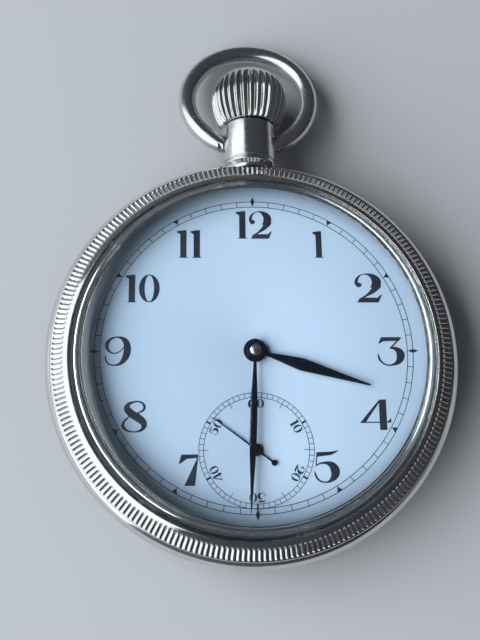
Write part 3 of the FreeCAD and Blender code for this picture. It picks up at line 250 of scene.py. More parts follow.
BOSS_STEEL = metal("hand_boss_steel", light=(0.34, 0.35, 0.37), dark=(0.20, 0.205, 0.22),
                   rough=(0.18, 0.30), size=0.8, scratch=0.1)
BOSS_BRONZE = metal("seconds_boss_bronze", light=(0.10, 0.085, 0.07), dark=(0.045, 0.04, 0.038),
                    rough=(0.22, 0.35), size=0.8, scratch=0.1)
PLATE = gilt()
WHEEL = metal("wheel_brass_satin", light=(0.80, 0.62, 0.30), dark=(0.66, 0.48, 0.22),
              rough=(0.20, 0.32), size=1.5, scratch=0.1, bump=0.08)
STEEL = metal("steel_polished", light=(0.60, 0.61, 0.63), dark=(0.46, 0.47, 0.49),
              rough=(0.12, 0.24), size=2.0, scratch=0.1, bump=0.06)
BLUE = metal("steel_blued", light=(0.045, 0.085, 0.30), dark=(0.025, 0.04, 0.16),
             rough=(0.12, 0.22), size=1.0, scratch=0.05)
RUBY = ruby()


# ---------------------------------------------------------------- mesh helpers
# A shape is a pair: its points in mm, and its faces as tuples of point numbers.
def shade(ob, sharp, recalc=False):
    """Shade smooth, keeping edges sharper than the given degrees."""
    bm = bmesh.new()
    bm.from_mesh(ob.data)
    if recalc:
        bmesh.ops.recalc_face_normals(bm, faces=bm.faces)
    limit = math.radians(sharp)
    for face in bm.faces:
        face.smooth = True
    for edge in bm.edges:
        edge.smooth = len(edge.link_faces) == 2 and edge.calc_face_angle(0.0) <= limit
    bm.to_mesh(ob.data)
    bm.free()


def make(name, shape, mats, sharp=32.0, marks=None):
    """A mesh object from a shape; marks are the faces' material numbers."""
    points, faces = shape
    mesh = bpy.data.meshes.new(name)
    mesh.from_pydata([tuple(float(c) * MM for c in point) for point in points], [],
                     [tuple(int(i) for i in face) for face in faces])
    for mat in mats:
        mesh.materials.append(mat)
    if marks is not None:
        mesh.polygons.foreach_set("material_index", np.asarray(marks, np.int32))
    ob = bpy.data.objects.new(name, mesh)
    bpy.context.scene.collection.objects.link(ob)
    shade(ob, sharp, recalc=True)
    return ob


def attach(ob, body, slot, *nodes):
    """Let an object ride on a CAD body, in place of the named CAD nodes."""
    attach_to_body(ob, body)
    if nodes:
        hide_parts(*nodes)


def join(*shapes):
    points, faces = [], []
    for more_points, more_faces in shapes:
        base = len(points)
        points.extend(more_points)
        faces += [tuple(base + i for i in face) for face in more_faces]
    return points, faces


def soften(points, steps=5):
    """Round the corners (r, h, reach) of a profile; reach is the length cut back on both sides.

    Points given as (r, h) stay sharp.
    """
    out = []
    for i, point in enumerate(points):
        if len(point) == 2:
            out.append(point)
            continue
        before = np.array(points[i - 1][:2], float)
        after = np.array(points[(i + 1) % len(points)][:2], float)
        corner, reach = np.array(point[:2], float), point[2]
        arms = []
        for end in (before, after):
            length = np.linalg.norm(end - corner)
            arms.append((end - corner) / length * min(reach, length * 0.49))
        for k in range(steps + 1):
            t = k / steps
            out.append(tuple((1 - t) ** 2 * (corner + arms[0]) + 2 * t * (1 - t) * corner
                             + t * t * (corner + arms[1])))
    return out


def split_edges(points, pieces):
    """Divide each edge a, b of an open line into pieces(a, b) equal parts; below 2 leaves it."""
    out = []
    for a, b in zip(points, points[1:]):
        count = pieces(a, b)
        out.append(a)
        out += [(a[0] + (b[0] - a[0]) * j / count, a[1] + (b[1] - a[1]) * j / count)
                for j in range(1, count)]
    return out + [points[-1]]


def lathe(profile, columns, place=None, bend=None):
    """Turn a profile of (r, h) about Z. One that starts and ends at r = 0 is open, else closed.

    columns is their number or their angles, bend changes the grid of radii and heights, and
    place moves each finished point.
    """
    if isinstance(columns, int):
        columns = np.arange(columns) * (2 * math.pi / columns)
    profile = np.array(profile, float)
    poles = profile[0, 0] < 1e-6 and profile[-1, 0] < 1e-6
    rows = profile[1:-1] if poles else profile
    radius, angle = np.meshgrid(rows[:, 0], columns)
    height = np.meshgrid(rows[:, 1], columns)[0]
    if bend:
        radius, height = bend(radius, height, angle)
    here = np.arange(radius.size).reshape(radius.shape)
    after = np.roll(here, -1, 0)
    quads = [np.stack([here[:, :-1], here[:, 1:], after[:, 1:], after[:, :-1]], -1).reshape(-1, 4)]
    if not poles:
        quads.append(np.stack([here[:, -1], here[:, 0], after[:, 0], after[:, -1]], -1))
    faces = [tuple(quad) for quad in np.concatenate(quads)]
    points = [(r * math.sin(t), r * math.cos(t), h)
              for r, t, h in zip(radius.flat, angle.flat, height.flat)]
    if poles:
        first, last = len(points), len(points) + 1
        points += [(0.0, 0.0, profile[0, 1]), (0.0, 0.0, profile[-1, 1])]
        faces += [(first, a, b) for a, b in zip(here[:, 0], after[:, 0])]
        faces += [(last, b, a) for a, b in zip(here[:, -1], after[:, -1])]
    if place:
        points = [place(*point) for point in points]
    return points, faces


def shifted(dx, dy):
    return lambda x, y, h: (x + dx, y + dy, h)


def along_stem(x, y, h):
    """Lay a turned piece along the stem's axis, its height running in +Y."""
    return x, h, STEM_Z + y


def clock(r, q, deg, y=0.0):
    """The point r out from (0, y) at deg clockwise from 12 o'clock, moved q to the clockwise."""
    s, c = math.sin(math.radians(deg)), math.cos(math.radians(deg))
    return r * s + q * c, y + r * c - q * s


def remove(ob):
    mesh = ob.data
    bpy.data.objects.remove(ob)
    bpy.data.meshes.remove(mesh)


def carve(ob, cutter):
    """Cut one mesh with another, and keep the result as plain mesh."""
    modifier = ob.modifiers.new("cut", "BOOLEAN")
    modifier.operation, modifier.solver, modifier.object = "DIFFERENCE", "EXACT", cutter
    bpy.context.view_layer.update()
    depsgraph = bpy.context.evaluated_depsgraph_get()
    cut = bpy.data.meshes.new_from_object(ob.evaluated_get(depsgraph))
    ob.modifiers.clear()
    old = ob.data
    ob.data = cut
    bpy.data.meshes.remove(old)


def bore(ob, shape):
    drill = make("drill", shape, [NICKEL])
    carve(ob, drill)
    remove(drill)


# Turned profiles below list (r, h, reach), as soften takes them.
# ---------------------------------------------------------------- case band, with a stem hole
BAND = [
    (24.6, 3.1, 0.25), (25.85, 3.6, 0.5), (26.1, 4.5, 0.6), (26.1, 5.3, 0.6), (25.85, 6.3, 0.5),
    (25.05, 7.0, 0.12), (23.6, 7.0, 0.03), (23.6, 7.95, 0.05), (22.3, 7.95, 0.05),
    (22.3, 7.0, 0.03), (22.1, 7.0, 0.03), (22.1, 6.4, 0.03), (21.5, 6.4, 0.05), (21.5, 5.0, 0.05),
    (22.6, 5.0, 0.03), (23.0, 2.75, 0.03), (23.95, 2.75, 0.05), (23.95, 3.1, 0.03)]
STEM_BORE = 0.87
SLEEVE_BORE = 1.63      # the hole's wider outer part
band = make("case_band_turned", lathe(soften(BAND, 4), 384), [NICKEL])
bore(band, lathe([(0.0, 27.2), (SLEEVE_BORE, 27.2), (SLEEVE_BORE, 22.9), (STEM_BORE, 22.9),
                  (STEM_BORE, 20.0), (0.0, 20.0)], 64, along_stem))

# ---------------------------------------------------------------- pendant
# Its h is the distance along Y. It is bored from both sides for the bow and cut to the band.
PENDANT = [
    (1.6, 23.6, 0.03), (1.6, 25.15), (2.75, 25.15, 0.02), (2.75, 25.52, 0.14),
    (3.12, 25.74, 0.12), (3.5, 25.92, 0.09), (3.5, 26.18, 0.07), (3.3, 26.3, 0.05),
    (3.3, 26.42, 0.05), (3.5, 26.55, 0.07), (3.5, 31.55, 0.08), (3.36, 31.7, 0.07),
    (1.6, 31.7, 0.08), (1.6, 26.0), (STEM_BORE, 26.0), (STEM_BORE, 23.6)]
BOW_HOLE = [(0.0, 1.9), (0.96, 1.9), (0.96, 3.32), (1.12, 4.0), (0.0, 4.0)]     # (r, |x|)
pendant = make("pendant_turned", lathe(soften(PENDANT), 128, along_stem), [NICKEL_SATIN])
for side in (-1, 1):
    bore(pendant, lathe(BOW_HOLE, 48, lambda x, y, h: (side * h, BOW_Y + x, STEM_Z + y)))
carve(pendant, band)
for ob, node in ((band, "case_band"), (pendant, "pendant")):
    shade(ob, 32.0)
    attach(ob, "root", "case_nickel", node)

# ---------------------------------------------------------------- reeding of bezel and back
REEDS = 240
PITCH = 2 * math.pi / REEDS
REED_COLUMNS = np.array([(k + part) * PITCH for k in range(REEDS)
                         for part in (0.0, 0.08, 0.26, 0.5, 0.74, 0.92)])


def smoothstep(x):
    x = np.clip(x, 0, 1)
    return x * x * (3 - 2 * x)


def reed_depth(radius, angle, on, r_in, r_out, inner_fade, depth, power):
    """Depth of the grooves where on is true, fading to nothing at r_in and r_out."""
    s = (r_out - radius) / (r_out - r_in)
    weight = smoothstep(np.clip(s / 0.12, 0, 1) * np.clip((1.0 - s) / inner_fade, 0, 1))
    groove = np.abs(2 * ((angle / PITCH) % 1.0) - 1)
    return np.where(on, depth * weight * groove ** power, 0.0)


# ---------------------------------------------------------------- bezel with a reeded cone
BEZEL = [
    (25.1, 7.0, 0.05), (25.1, 7.42, 0.20), (23.4, 8.30, 0.30), (22.85, 8.61, 0.05),
    (22.75, 8.57, 0.04), (22.72, 8.05, 0.03), (22.72, 7.95, 0.02), (23.64, 7.95, 0.02),
    (23.64, 7.0, 0.03)]
CONE_ROWS = 18


def bend_bezel(radius, height, angle):
    upper = height > 7.40 + (25.1 - radius) * 0.45
    depth = reed_depth(radius, angle, upper, r_in=23.42, r_out=24.98, inner_fade=0.20,
                       depth=0.18, power=1.3)
    return radius - depth * 0.50, height - depth * 0.866


# only the cone's long edge runs inward by more than 1 mm
bezel_rows = split_edges(soften(BEZEL, 4), lambda a, b: CONE_ROWS if a[0] - b[0] > 1.0 else 1)
bezel = lathe(bezel_rows, REED_COLUMNS, bend=bend_bezel)
middle = np.array(bezel[0])[np.array(bezel[1])].mean(1)
middle_r = np.hypot(middle[:, 0], middle[:, 1])
on_cone = (middle_r > 23.40) & (middle_r < 24.98) & (middle[:, 2] > 7.3)
attach(make("bezel_reeded", bezel, [NICKEL, NICKEL_REED], sharp=55.0, marks=on_cone),
       "root", "case_nickel", "bezel")

# ---------------------------------------------------------------- back cover, reeded at its edge
BACK = [
    (0.0, 0.0), (15.0, 0.0, 3.0), (19.0, 0.28, 1.8), (22.0, 1.0, 1.0), (24.0, 1.9, 0.35),
    (24.85, 2.6, 0.3), (25.0, 3.1, 0.05), (24.0, 3.1, 0.02), (24.0, 2.72, 0.04),
    (22.95, 2.45, 0.3), (21.45, 1.78, 0.5), (18.7, 1.08, 1.2), (15.0, 0.8, 1.8), (0.0, 0.8)]


def bend_back(radius, height, angle):
    lower = height < 0.75 + (radius - 21.4) * 0.46
    depth = reed_depth(radius, angle, lower, r_in=22.25, r_out=24.15, inner_fade=0.25,
                       depth=0.16, power=1.4)
    return radius - depth * 0.42, height + depth * 0.90


def back_pieces(a, b):
    """Rows about 0.16 mm apart on the long edges that carry the reeds."""
    run = b[0] - a[0]
    return int(run / 0.16) if a[0] > 21.5 and b[0] < 24.5 and run > 0.35 else 1


back = lathe(split_edges(soften(BACK, 3), back_pieces), REED_COLUMNS, bend=bend_back)
attach(make("back_cover_reeded", back, [NICKEL], sharp=55.0),
       "root", "case_nickel", "back_cover")

# ---------------------------------------------------------------- crystal
CRYSTAL = [
    (0.0, 11.3), (8.0, 11.18, 3.0), (13.0, 10.96, 2.4), (17.0, 10.70, 1.8), (19.6, 10.46, 0.9),
    (21.15, 10.25, 0.04), (22.2, 8.98, 0.35), (22.7, 8.5, 0.2), (22.7, 8.05, 0.04),
    (21.6, 8.05, 0.04), (21.5, 8.35, 0.10), (20.95, 9.40, 0.08), (19.4, 9.6, 0.5),
    (17.0, 9.84, 1.2), (13.0, 10.08, 2.0), (8.0, 10.22, 3.0), (0.0, 10.3)]
attach(make("crystal_dome", lathe(soften(CRYSTAL, 6), 288), [GLASS], sharp=60.0),
       "root", "glass_dome", "crystal")

# ---------------------------------------------------------------- bow
# A round wire ring with narrowed, square-cut ends, on two pins. It is made flat with its pivot
# at the origin, then tilted so that its far side drops towards the floor.
BOW_TILT = math.radians(-12.2)
RING_R = 8.45
RING_Y = 7.8            # ring centre from the pivot
WIRE_R = 1.2
END_X = 3.63            # the wire's cut ends, either side of the pendant
END_NARROWING = 0.16
NARROWING_ANGLE = 0.30
WIRE_SIDES = 48
PIN = [(0.0, 2.12), (0.9, 2.12, 0.1), (0.9, 4.3), (0.0, 4.3)]      # (r, |x|, reach)


def bow_wire():
    start = math.asin(END_X / RING_R)
    angles = np.linspace(start, 2 * math.pi - start, 150)
    path = np.array([(RING_R * math.sin(a), RING_Y - RING_R * math.cos(a), 0.0) for a in angles])
    tangents = np.gradient(path, axis=0)
    tangents /= np.linalg.norm(tangents, axis=1)[:, None]
    from_end = np.minimum(angles - start, 2 * math.pi - start - angles)
    up = np.array([0.0, 0.0, 1.0])
    points, faces = [], []
    for centre, tangent, gap in zip(path, tangents, from_end):
        r = WIRE_R - END_NARROWING * max(0.0, 1 - gap / NARROWING_ANGLE) ** 2
        across = np.cross(tangent, up)
        across /= np.linalg.norm(across)
        for k in range(WIRE_SIDES):
            a = 2 * math.pi * k / WIRE_SIDES
            points.append(centre + r * (math.cos(a) * up + math.sin(a) * across))
    for base in range(0, len(points) - WIRE_SIDES, WIRE_SIDES):
        for k in range(WIRE_SIDES):
            a, b = base + k, base + (k + 1) % WIRE_SIDES
            faces.append((a, b, b + WIRE_SIDES, a + WIRE_SIDES))
    faces.append(tuple(range(WIRE_SIDES))[::-1])
    faces.append(tuple(range(len(points) - WIRE_SIDES, len(points))))
    # slide the end rings along the wire until they lie flat in x = +-END_X
    points = np.array(points)
    for ring, side in ((slice(0, WIRE_SIDES), 1), (slice(-WIRE_SIDES, None), -1)):
        along = np.array([math.cos(start), math.sin(start) * side, 0.0])
        points[ring] += np.outer((side * END_X - points[ring][:, 0]) / along[0], along)
    return points, faces


pins = [lathe(soften(PIN, 4), 40, lambda x, y, h: (side * h, x, y)) for side in (-1, 1)]
points, faces = join(bow_wire(), *pins)
tilt_c, tilt_s = math.cos(BOW_TILT), math.sin(BOW_TILT)
points = [(x, BOW_Y + y * tilt_c - z * tilt_s, STEM_Z + y * tilt_s + z * tilt_c)
          for x, y, z in points]
attach(make("bow_wire_round", (points, faces), [NICKEL_SATIN], sharp=40.0),
       "bow", "case_nickel", "bow")

# ---------------------------------------------------------------- crown: onion with rounded ribs
RIBS = 32
CROWN = [
    (0.0, 8.3), (1.6, 8.12, 1.0), (3.0, 7.65, 0.8), (4.2, 6.7, 0.8), (4.85, 5.55, 0.7),
    (5.1, 4.4, 0.5), (5.1, 3.6, 0.5), (4.85, 2.0, 0.8), (4.35, 0.65, 0.35), (3.9, 0.0, 0.25),
    (0.77, 0.0), (0.77, 4.6), (0.0, 4.6)]


def bend_crown(radius, height, angle):
    """Grooves that fade out towards the rounded top; the bore stays plain."""
    fade = smoothstep((7.2 - height) / 2.4)
    size = np.clip((radius - 1.4) / 2.0, 0, 1)
    groove = 0.5 - 0.5 * np.cos(RIBS * angle)
    low = 0.72 + 0.28 * np.clip(height / 1.4, 0, 1)
    return np.where(radius > 0.9, radius - 0.40 * fade * size * low * groove, radius), height


def crown_pieces(a, b):
    """Rows about 0.25 mm apart, but not in the bore."""
    return int(math.hypot(b[0] - a[0], b[1] - a[1]) / 0.25) if min(a[0], b[0]) > 1.0 else 1


crown = lathe(split_edges(soften(CROWN), crown_pieces), RIBS * 14,
              lambda x, y, h: (x, CROWN_Y + h, STEM_Z + y), bend_crown)
attach(make("crown_ribbed", crown, [NICKEL_CROWN], sharp=50.0),
       "crown_stem", "case_nickel", "crown")


# ---------------------------------------------------------------- dial disc
def inside(x, y, loop):
    """Whether points lie in a closed outline, by counting crossings."""
    result = np.zeros(np.shape(x), bool)
    for (x0, y0), (x1, y1) in zip(loop, np.roll(loop, -1, 0)):
        if y0 != y1:
            crosses = (y0 <= y) != (y1 <= y)
            result = result ^ (crosses & (x < x0 + (y - y0) * (x1 - x0) / (y1 - y0)))
    return result


def slab(loops, z0, z1):
    """A flat solid from an outer loop and its holes."""
    edges, base = [], 0
    for loop in loops:
        edges += [(base + k, base + (k + 1) % len(loop)) for k in range(len(loop))]
        base += len(loop)
    filled = delaunay_2d_cdt([Vector(p) for loop in loops for p in loop], edges, [], 0, 1e-7)
    flat = [(p[0], p[1]) for p in filled[0]]
    middles = np.array([np.mean([flat[i] for i in face], 0) for face in filled[2]])
    solid = np.zeros(len(middles), bool)
    for loop in loops:
        solid ^= inside(middles[:, 0], middles[:, 1], loop)
    top = [tuple(face) for face, keep in zip(filled[2], solid) if keep]
    n = len(flat)
    points = [(x, y, z1) for x, y in flat] + [(x, y, z0) for x, y in flat]
    faces = top + [tuple(i + n for i in face[::-1]) for face in top]
    uses = {}
    for face in top:
        for edge in zip(face, face[1:] + face[:1]):
            uses.setdefault(tuple(sorted(edge)), []).append(edge)
    for found in uses.values():
        if len(found) == 1:
            a, b = found[0]
            faces.append((b, a, a + n, b + n))
    return points, faces


def circle(r, count, y=0.0):
    turns = [2 * math.pi * k / count for k in range(count)]
    return [(r * math.cos(t), y + r * math.sin(t)) for t in turns]


dial = make("dial_disc", slab([circle(22.0, 256), circle(1.1, 64), circle(0.35, 40, SUB_Y)],
                              7.1, DIAL_Z), [ENAMEL], sharp=30.0)
attach(dial, "root", "dial_enamel", "dial")
bm = bmesh.new()
bm.from_mesh(dial.data)
rims = [e for e in bm.edges if e.calc_face_angle(0.0) > 1.0
        and all(abs(v.co.z - DIAL_Z * MM) < 1e-7 for v in e.verts)]
bmesh.ops.bevel(bm, geom=rims, offset=0.00006, segments=3, profile=0.5, affect="EDGES")
bm.to_mesh(dial.data)
bm.free()
shade(dial, 30.0)

# three feet under the dial, at degrees counted from +X towards +Y
FOOT = [(0.0, 5.7), (0.4, 5.7, 0.08), (0.4, 7.12), (0.0, 7.12)]
FOOT_CIRCLE_R = 19.2
feet = [lathe(soften(FOOT, 3), 24, shifted(FOOT_CIRCLE_R * math.cos(math.radians(deg)),
                                           FOOT_CIRCLE_R * math.sin(math.radians(deg))))
        for deg in (150.0, 270.0, 20.0)]
attach(make("dial_feet", join(*feet), [WHEEL]), "root", "wheel_brass")


# ---------------------------------------------------------------- digits
# Each digit is drawn about 1 high as a signed distance field, negative inside: a union of
# polygons, tapered strokes and ovals.
def to_segment(X, Y, start, end):
    """Offset of each point from the nearest one on a segment, and that one's place along it."""
    ex, ey = end[0] - start[0], end[1] - start[1]
    t = np.clip(((X - start[0]) * ex + (Y - start[1]) * ey) / (ex * ex + ey * ey + 1e-12), 0, 1)
    return X - start[0] - ex * t, Y - start[1] - ey * t, t


def polygon(X, Y, points):
    squared = np.full(X.shape, 1e9)
    for start, end in zip(points, points[1:] + points[:1]):
        dx, dy, _ = to_segment(X, Y, start, end)
        squared = np.minimum(squared, dx ** 2 + dy ** 2)
    distance = np.sqrt(squared)
    return np.where(inside(X, Y, points), -distance, distance)


def stroke(X, Y, points):
    """A smooth stroke through (x, y, half width)."""
    P = np.array(points, float)
    P = np.vstack([2 * P[0] - P[1], P, 2 * P[-1] - P[-2]])
    dense = []
    for a, b, c, d in zip(P, P[1:], P[2:], P[3:]):
        for t in np.linspace(0, 1, 9)[:-1]:
            dense.append(0.5 * (2 * b + (c - a) * t + (2 * a - 5 * b + 4 * c - d) * t ** 2
                                + (3 * b - a - 3 * c + d) * t ** 3))
    dense.append(P[-2])
    field = np.full(X.shape, 1e9)
    for a, b in zip(dense, dense[1:]):
        dx, dy, t = to_segment(X, Y, a, b)
        field = np.minimum(field, np.hypot(dx, dy) - np.maximum(a[2] + (b[2] - a[2]) * t, 0.010))
    return field


def oval(X, Y, cx, cy, a, b):
    return (np.hypot((X - cx) / a, (Y - cy) / b) - 1) * min(a, b)


# polygons list (x, y), strokes (x, y, half width)
DIGIT_PARTS = {
    "1": [(polygon, [(0.0, 0.0), (0.26, 0.0), (0.26, 1.0), (0.0, 0.955)]),
          (polygon, [(-0.15, 0.92), (-0.12, 0.965), (0.20, 1.0), (0.02, 0.83)]),
          (polygon, [(-0.07, 0.0), (0.33, 0.0), (0.33, 0.028), (-0.07, 0.028)])],
    "2": [(stroke, [(0.10, 0.53, 0.02), (0.03, 0.64, 0.03), (0.03, 0.74, 0.03)]),
          (stroke, [(0.78, 0.58, 0.13), (0.62, 0.40, 0.085), (0.38, 0.23, 0.035),
                    (0.13, 0.10, 0.02)]),
          (polygon, [(0.05, 0.0), (0.80, 0.0), (0.93, 0.27), (0.88, 0.26), (0.76, 0.165),
                     (0.20, 0.165)])],
    "3": [(polygon, [(0.02, 0.78), (0.12, 1.0), (0.80, 1.0), (0.72, 0.87), (0.20, 0.86),
                     (0.05, 0.77)]),
          (stroke, [(0.76, 0.97, 0.025), (0.42, 0.62, 0.025)]),
          (stroke, [(0.42, 0.62, 0.03), (0.57, 0.60, 0.06), (0.71, 0.49, 0.115),
                    (0.745, 0.33, 0.135), (0.67, 0.15, 0.09), (0.47, 0.035, 0.035),
                    (0.26, 0.03, 0.025), (0.09, 0.14, 0.03), (0.02, 0.28, 0.035),
                    (0.0, 0.42, 0.012)])],
    "4": [(polygon, [(0.63, 0.0), (0.88, 0.0), (0.86, 0.03), (0.86, 1.0), (0.63, 1.0)]),
          (polygon, [(0.0, 0.24), (0.64, 1.0), (0.64, 0.90), (0.19, 0.27)]),
          (polygon, [(0.0, 0.235), (0.96, 0.235), (0.96, 0.27), (0.0, 0.27)]),
          (polygon, [(0.85, 0.25), (1.0, 0.38), (1.0, 0.235)])],
    "5": [(polygon, [(0.07, 0.93), (0.10, 0.79), (0.30, 0.815), (0.50, 0.84), (0.66, 0.92),
                     (0.76, 1.0), (0.60, 0.955), (0.40, 0.94)]),
          (stroke, [(0.088, 0.92, 0.016), (0.045, 0.52, 0.016)]),
          (stroke, [(0.045, 0.52, 0.015), (0.18, 0.59, 0.025), (0.36, 0.60, 0.045),
                    (0.53, 0.53, 0.10), (0.62, 0.36, 0.135), (0.585, 0.18, 0.10),
                    (0.42, 0.035, 0.035), (0.24, 0.025, 0.022), (0.10, 0.10, 0.028),
                    (0.03, 0.22, 0.03), (0.0, 0.34, 0.012)])],
    "7": [(polygon, [(0.09, 1.0), (0.62, 1.0), (0.62, 0.885), (0.26, 0.86), (0.06, 0.71),
                     (0.0, 0.70)]),
          (polygon, [(0.585, 0.88), (0.62, 0.90), (0.52, 0.0), (0.18, 0.0)])],
    "8": [(stroke, [(0.44, 0.98, 0.022), (0.22, 0.90, 0.055), (0.165, 0.75, 0.10),
                    (0.29, 0.60, 0.12), (0.49, 0.47, 0.125), (0.655, 0.34, 0.11),
                    (0.70, 0.20, 0.08), (0.60, 0.065, 0.04), (0.40, 0.018, 0.022),
                    (0.18, 0.06, 0.03), (0.05, 0.19, 0.045), (0.08, 0.34, 0.035),
                    (0.25, 0.50, 0.022), (0.50, 0.60, 0.022), (0.68, 0.71, 0.035),
                    (0.70, 0.84, 0.04), (0.60, 0.95, 0.028), (0.44, 0.98, 0.022)])],
    "9": [(stroke, [(0.42, 0.98, 0.022), (0.62, 0.93, 0.06), (0.77, 0.78, 0.11),
                    (0.81, 0.55, 0.13), (0.75, 0.30, 0.115), (0.60, 0.10, 0.065),
                    (0.42, 0.025, 0.03), (0.22, 0.03, 0.025), (0.08, 0.12, 0.03),
                    (0.03, 0.24, 0.03), (0.03, 0.34, 0.012)]),
          (stroke, [(0.42, 0.98, 0.022), (0.22, 0.92, 0.04), (0.08, 0.77, 0.07),
                    (0.08, 0.60, 0.06), (0.20, 0.46, 0.03), (0.38, 0.42, 0.022),
                    (0.56, 0.50, 0.02), (0.67, 0.62, 0.02)])]}
DIGIT_WIDTHS = {"1": 0.33, "0": 0.84, "2": 0.93, "3": 0.88, "4": 1.0, "5": 0.76, "7": 0.62,
                "8": 0.78, "9": 0.94, "6": 0.94}
DIGIT_GAP = 0.06
TRACE_STEP = 0.0085


def digit_field(X, Y, digit):
    if digit == "6":        # a 9 turned half round
        return digit_field(0.92 - X, 1.0 - Y, "9")
    if digit == "0":
        return np.maximum(oval(X, Y, 0.42, 0.5, 0.42, 0.5), -oval(X, Y, 0.42, 0.5, 0.19, 0.47))
    parts = [part(X, Y, points) for part, points in DIGIT_PARTS[digit]]
    if digit == "2":        # the head is a crescent cut off below, with a dot at its left end
        head = np.maximum(oval(X, Y, 0.46, 0.70, 0.46, 0.30),
                          -oval(X, Y, 0.355, 0.695, 0.24, 0.265))
        window = [(-0.1, 1.1), (1.1, 1.1), (1.1, 0.50), (0.60, 0.50), (0.30, 0.52), (-0.1, 0.62)]
        parts += [np.maximum(head, polygon(X, Y, window)), oval(X, Y, 0.155, 0.60, 0.085, 0.075)]
    return np.minimum.reduce(parts)


# which cell sides the zero line joins, by the cell's corner signs: Left, Bottom, Right, Top
CELL_LINKS = {1: "LB", 2: "BR", 3: "LR", 4: "RT", 5: "LTBR", 6: "BT", 7: "LT", 8: "TL", 9: "TB",
              10: "LBRT", 11: "TR", 12: "RL", 13: "RB", 14: "BL"}


def trace(F, xs, ys):
    """Closed outlines of the zero line of a field on a grid."""
    S = F < 0
    code = S[:-1, :-1] * 1 + S[:-1, 1:] * 2 + S[1:, 1:] * 4 + S[1:, :-1] * 8
    links, spots = {}, {}
    for j, i in np.argwhere((code > 0) & (code < 15)):
        keys = {"B": ("h", j, i), "T": ("h", j + 1, i), "L": ("v", j, i), "R": ("v", j, i + 1)}
        sides = CELL_LINKS[int(code[j, i])]
        for a, b in zip(sides[::2], sides[1::2]):
            links.setdefault(keys[a], []).append(keys[b])
            links.setdefault(keys[b], []).append(keys[a])
            for key in (keys[a], keys[b]):
                kind, y, x = key
                if kind == "h":
                    u, v = F[y, x], F[y, x + 1]
                    spots[key] = (xs[x] + (xs[x + 1] - xs[x]) * u / (u - v), ys[y])
                else:
                    u, v = F[y, x], F[y + 1, x]
                    spots[key] = (xs[x], ys[y] + (ys[y + 1] - ys[y]) * u / (u - v))
    loops, seen = [], set()
    for start in sorted(links):
        loop, before, here = [], None, start
        while here not in seen:
            seen.add(here)
            loop.append(spots[here])
            onward = [key for key in links[here] if key != before and key not in seen]
            before, here = here, (onward[0] if onward else start)
        if len(loop) > 5:
            loops.append(np.array(loop))
    return loops


def thin_out(loop, tolerance):
    """Drop points that lie within tolerance of the line through their kept neighbours."""
    def kept(a, b):
        if b <= a + 1:
            return []
        start = loop[a]
        d = loop[b % len(loop)] - start
        length = np.hypot(*d)
        w = loop[a + 1:b] - start
        if length > 1e-12:
            distance = np.abs(d[0] * w[:, 1] - d[1] * w[:, 0]) / length
        else:
            distance = np.hypot(w[:, 0], w[:, 1])
        k = int(np.argmax(distance))
        if distance[k] <= tolerance:
            return []
        k += a + 1
        return kept(a, k) + [k] + kept(k, b)
    half = len(loop) // 2
    return loop[[0] + kept(0, half) + [half] + kept(half, len(loop))]


def loop_area(loop):
    x, y = loop[:, 0], loop[:, 1]
    return abs(0.5 * np.sum(x * np.roll(y, -1) - y * np.roll(x, -1)))


def outlines(text, thin):
    """Outlines of one or two digits, scaled so that their box is 0..1 both ways.

    thin takes that much off their edges; below 0 it thickens them.
    """
    digits, x = [], 0.0
    for k, digit in enumerate(text):
        if k and text[k - 1] == "1":
            x += 0.02
        if k and digit == "1":
            x += 0.14
        digits.append((digit, x))
        x += DIGIT_WIDTHS[digit] + DIGIT_GAP
    xs, ys = np.arange(-0.24, x + 0.12, TRACE_STEP), np.arange(-0.06, 1.07, TRACE_STEP)
    X, Y = np.meshgrid(xs, ys)
    field = np.minimum.reduce([digit_field(X - left, Y, digit) + thin for digit, left in digits])
    loops = trace(field, xs, ys)
    every = np.vstack(loops)
    low, high = every.min(0), every.max(0)
    slim = [thin_out((loop - low) / (high - low), 0.0022) for loop in loops]
    return [loop for loop in slim if len(loop) > 3 and loop_area(loop) > 2e-4]


def group_loops(loops):
    """Each outer outline with the holes that lie in it."""
    groups = []
    for loop in sorted(loops, key=loop_area, reverse=True):
        home = [group for group in groups if inside(*loop[0], group[0])]
        if home:
            home[0].append(loop)
        else:
            groups.append([loop])
    return groups


# ---------------------------------------------------------------- printing on the dial
PRINT_LIFT = 0.012      # printing stands this far over the dial; marks that overlap stand higher
PRINT_SINK = 0.01


class Print:
    """Collects flat shapes printed around (0, y) into one thin raised piece."""

    def __init__(self, y=0.0):
        self.y = y
        self.shapes = []

    def marker(self, points, deg, lift=PRINT_LIFT):
        """A convex shape from (r, q) points, as clock takes them."""
        flat = [clock(r, q, deg, self.y) for r, q in points]
        n = len(flat)
        solid = [(x, y, z) for z in (DIAL_Z + lift, DIAL_Z - PRINT_SINK) for x, y in flat]
        walls = [(k, n + k, n + (k + 1) % n, (k + 1) % n) for k in range(n)]
        self.shapes.append((solid, [tuple(range(n)), tuple(range(n, 2 * n))[::-1]] + walls))

    def ring(self, r, width, count):
        low, high = DIAL_Z - PRINT_SINK, DIAL_Z + PRINT_LIFT
        r_in, r_out = r - width / 2, r + width / 2
        self.shapes.append(lathe([(r_in, low), (r_in, high), (r_out, high), (r_out, low)],
                                 count, shifted(0.0, self.y)))

    def bar(self, r0, r1, width, deg, lift=PRINT_LIFT):
        half = width / 2
        self.marker([(r0, half), (r1, half), (r1, -half), (r0, -half)], deg, lift)

    def digits(self, text, place, thin=0.0):
        for group in group_loops(outlines(text, thin)):
            self.shapes.append(slab([[place(x, y) for x, y in loop] for loop in group],
                                    DIAL_Z - PRINT_SINK, DIAL_Z + PRINT_LIFT))

    def make(self, name):
        attach(make(name, join(*self.shapes), [INK], sharp=20.0), "root", "dark_hands")


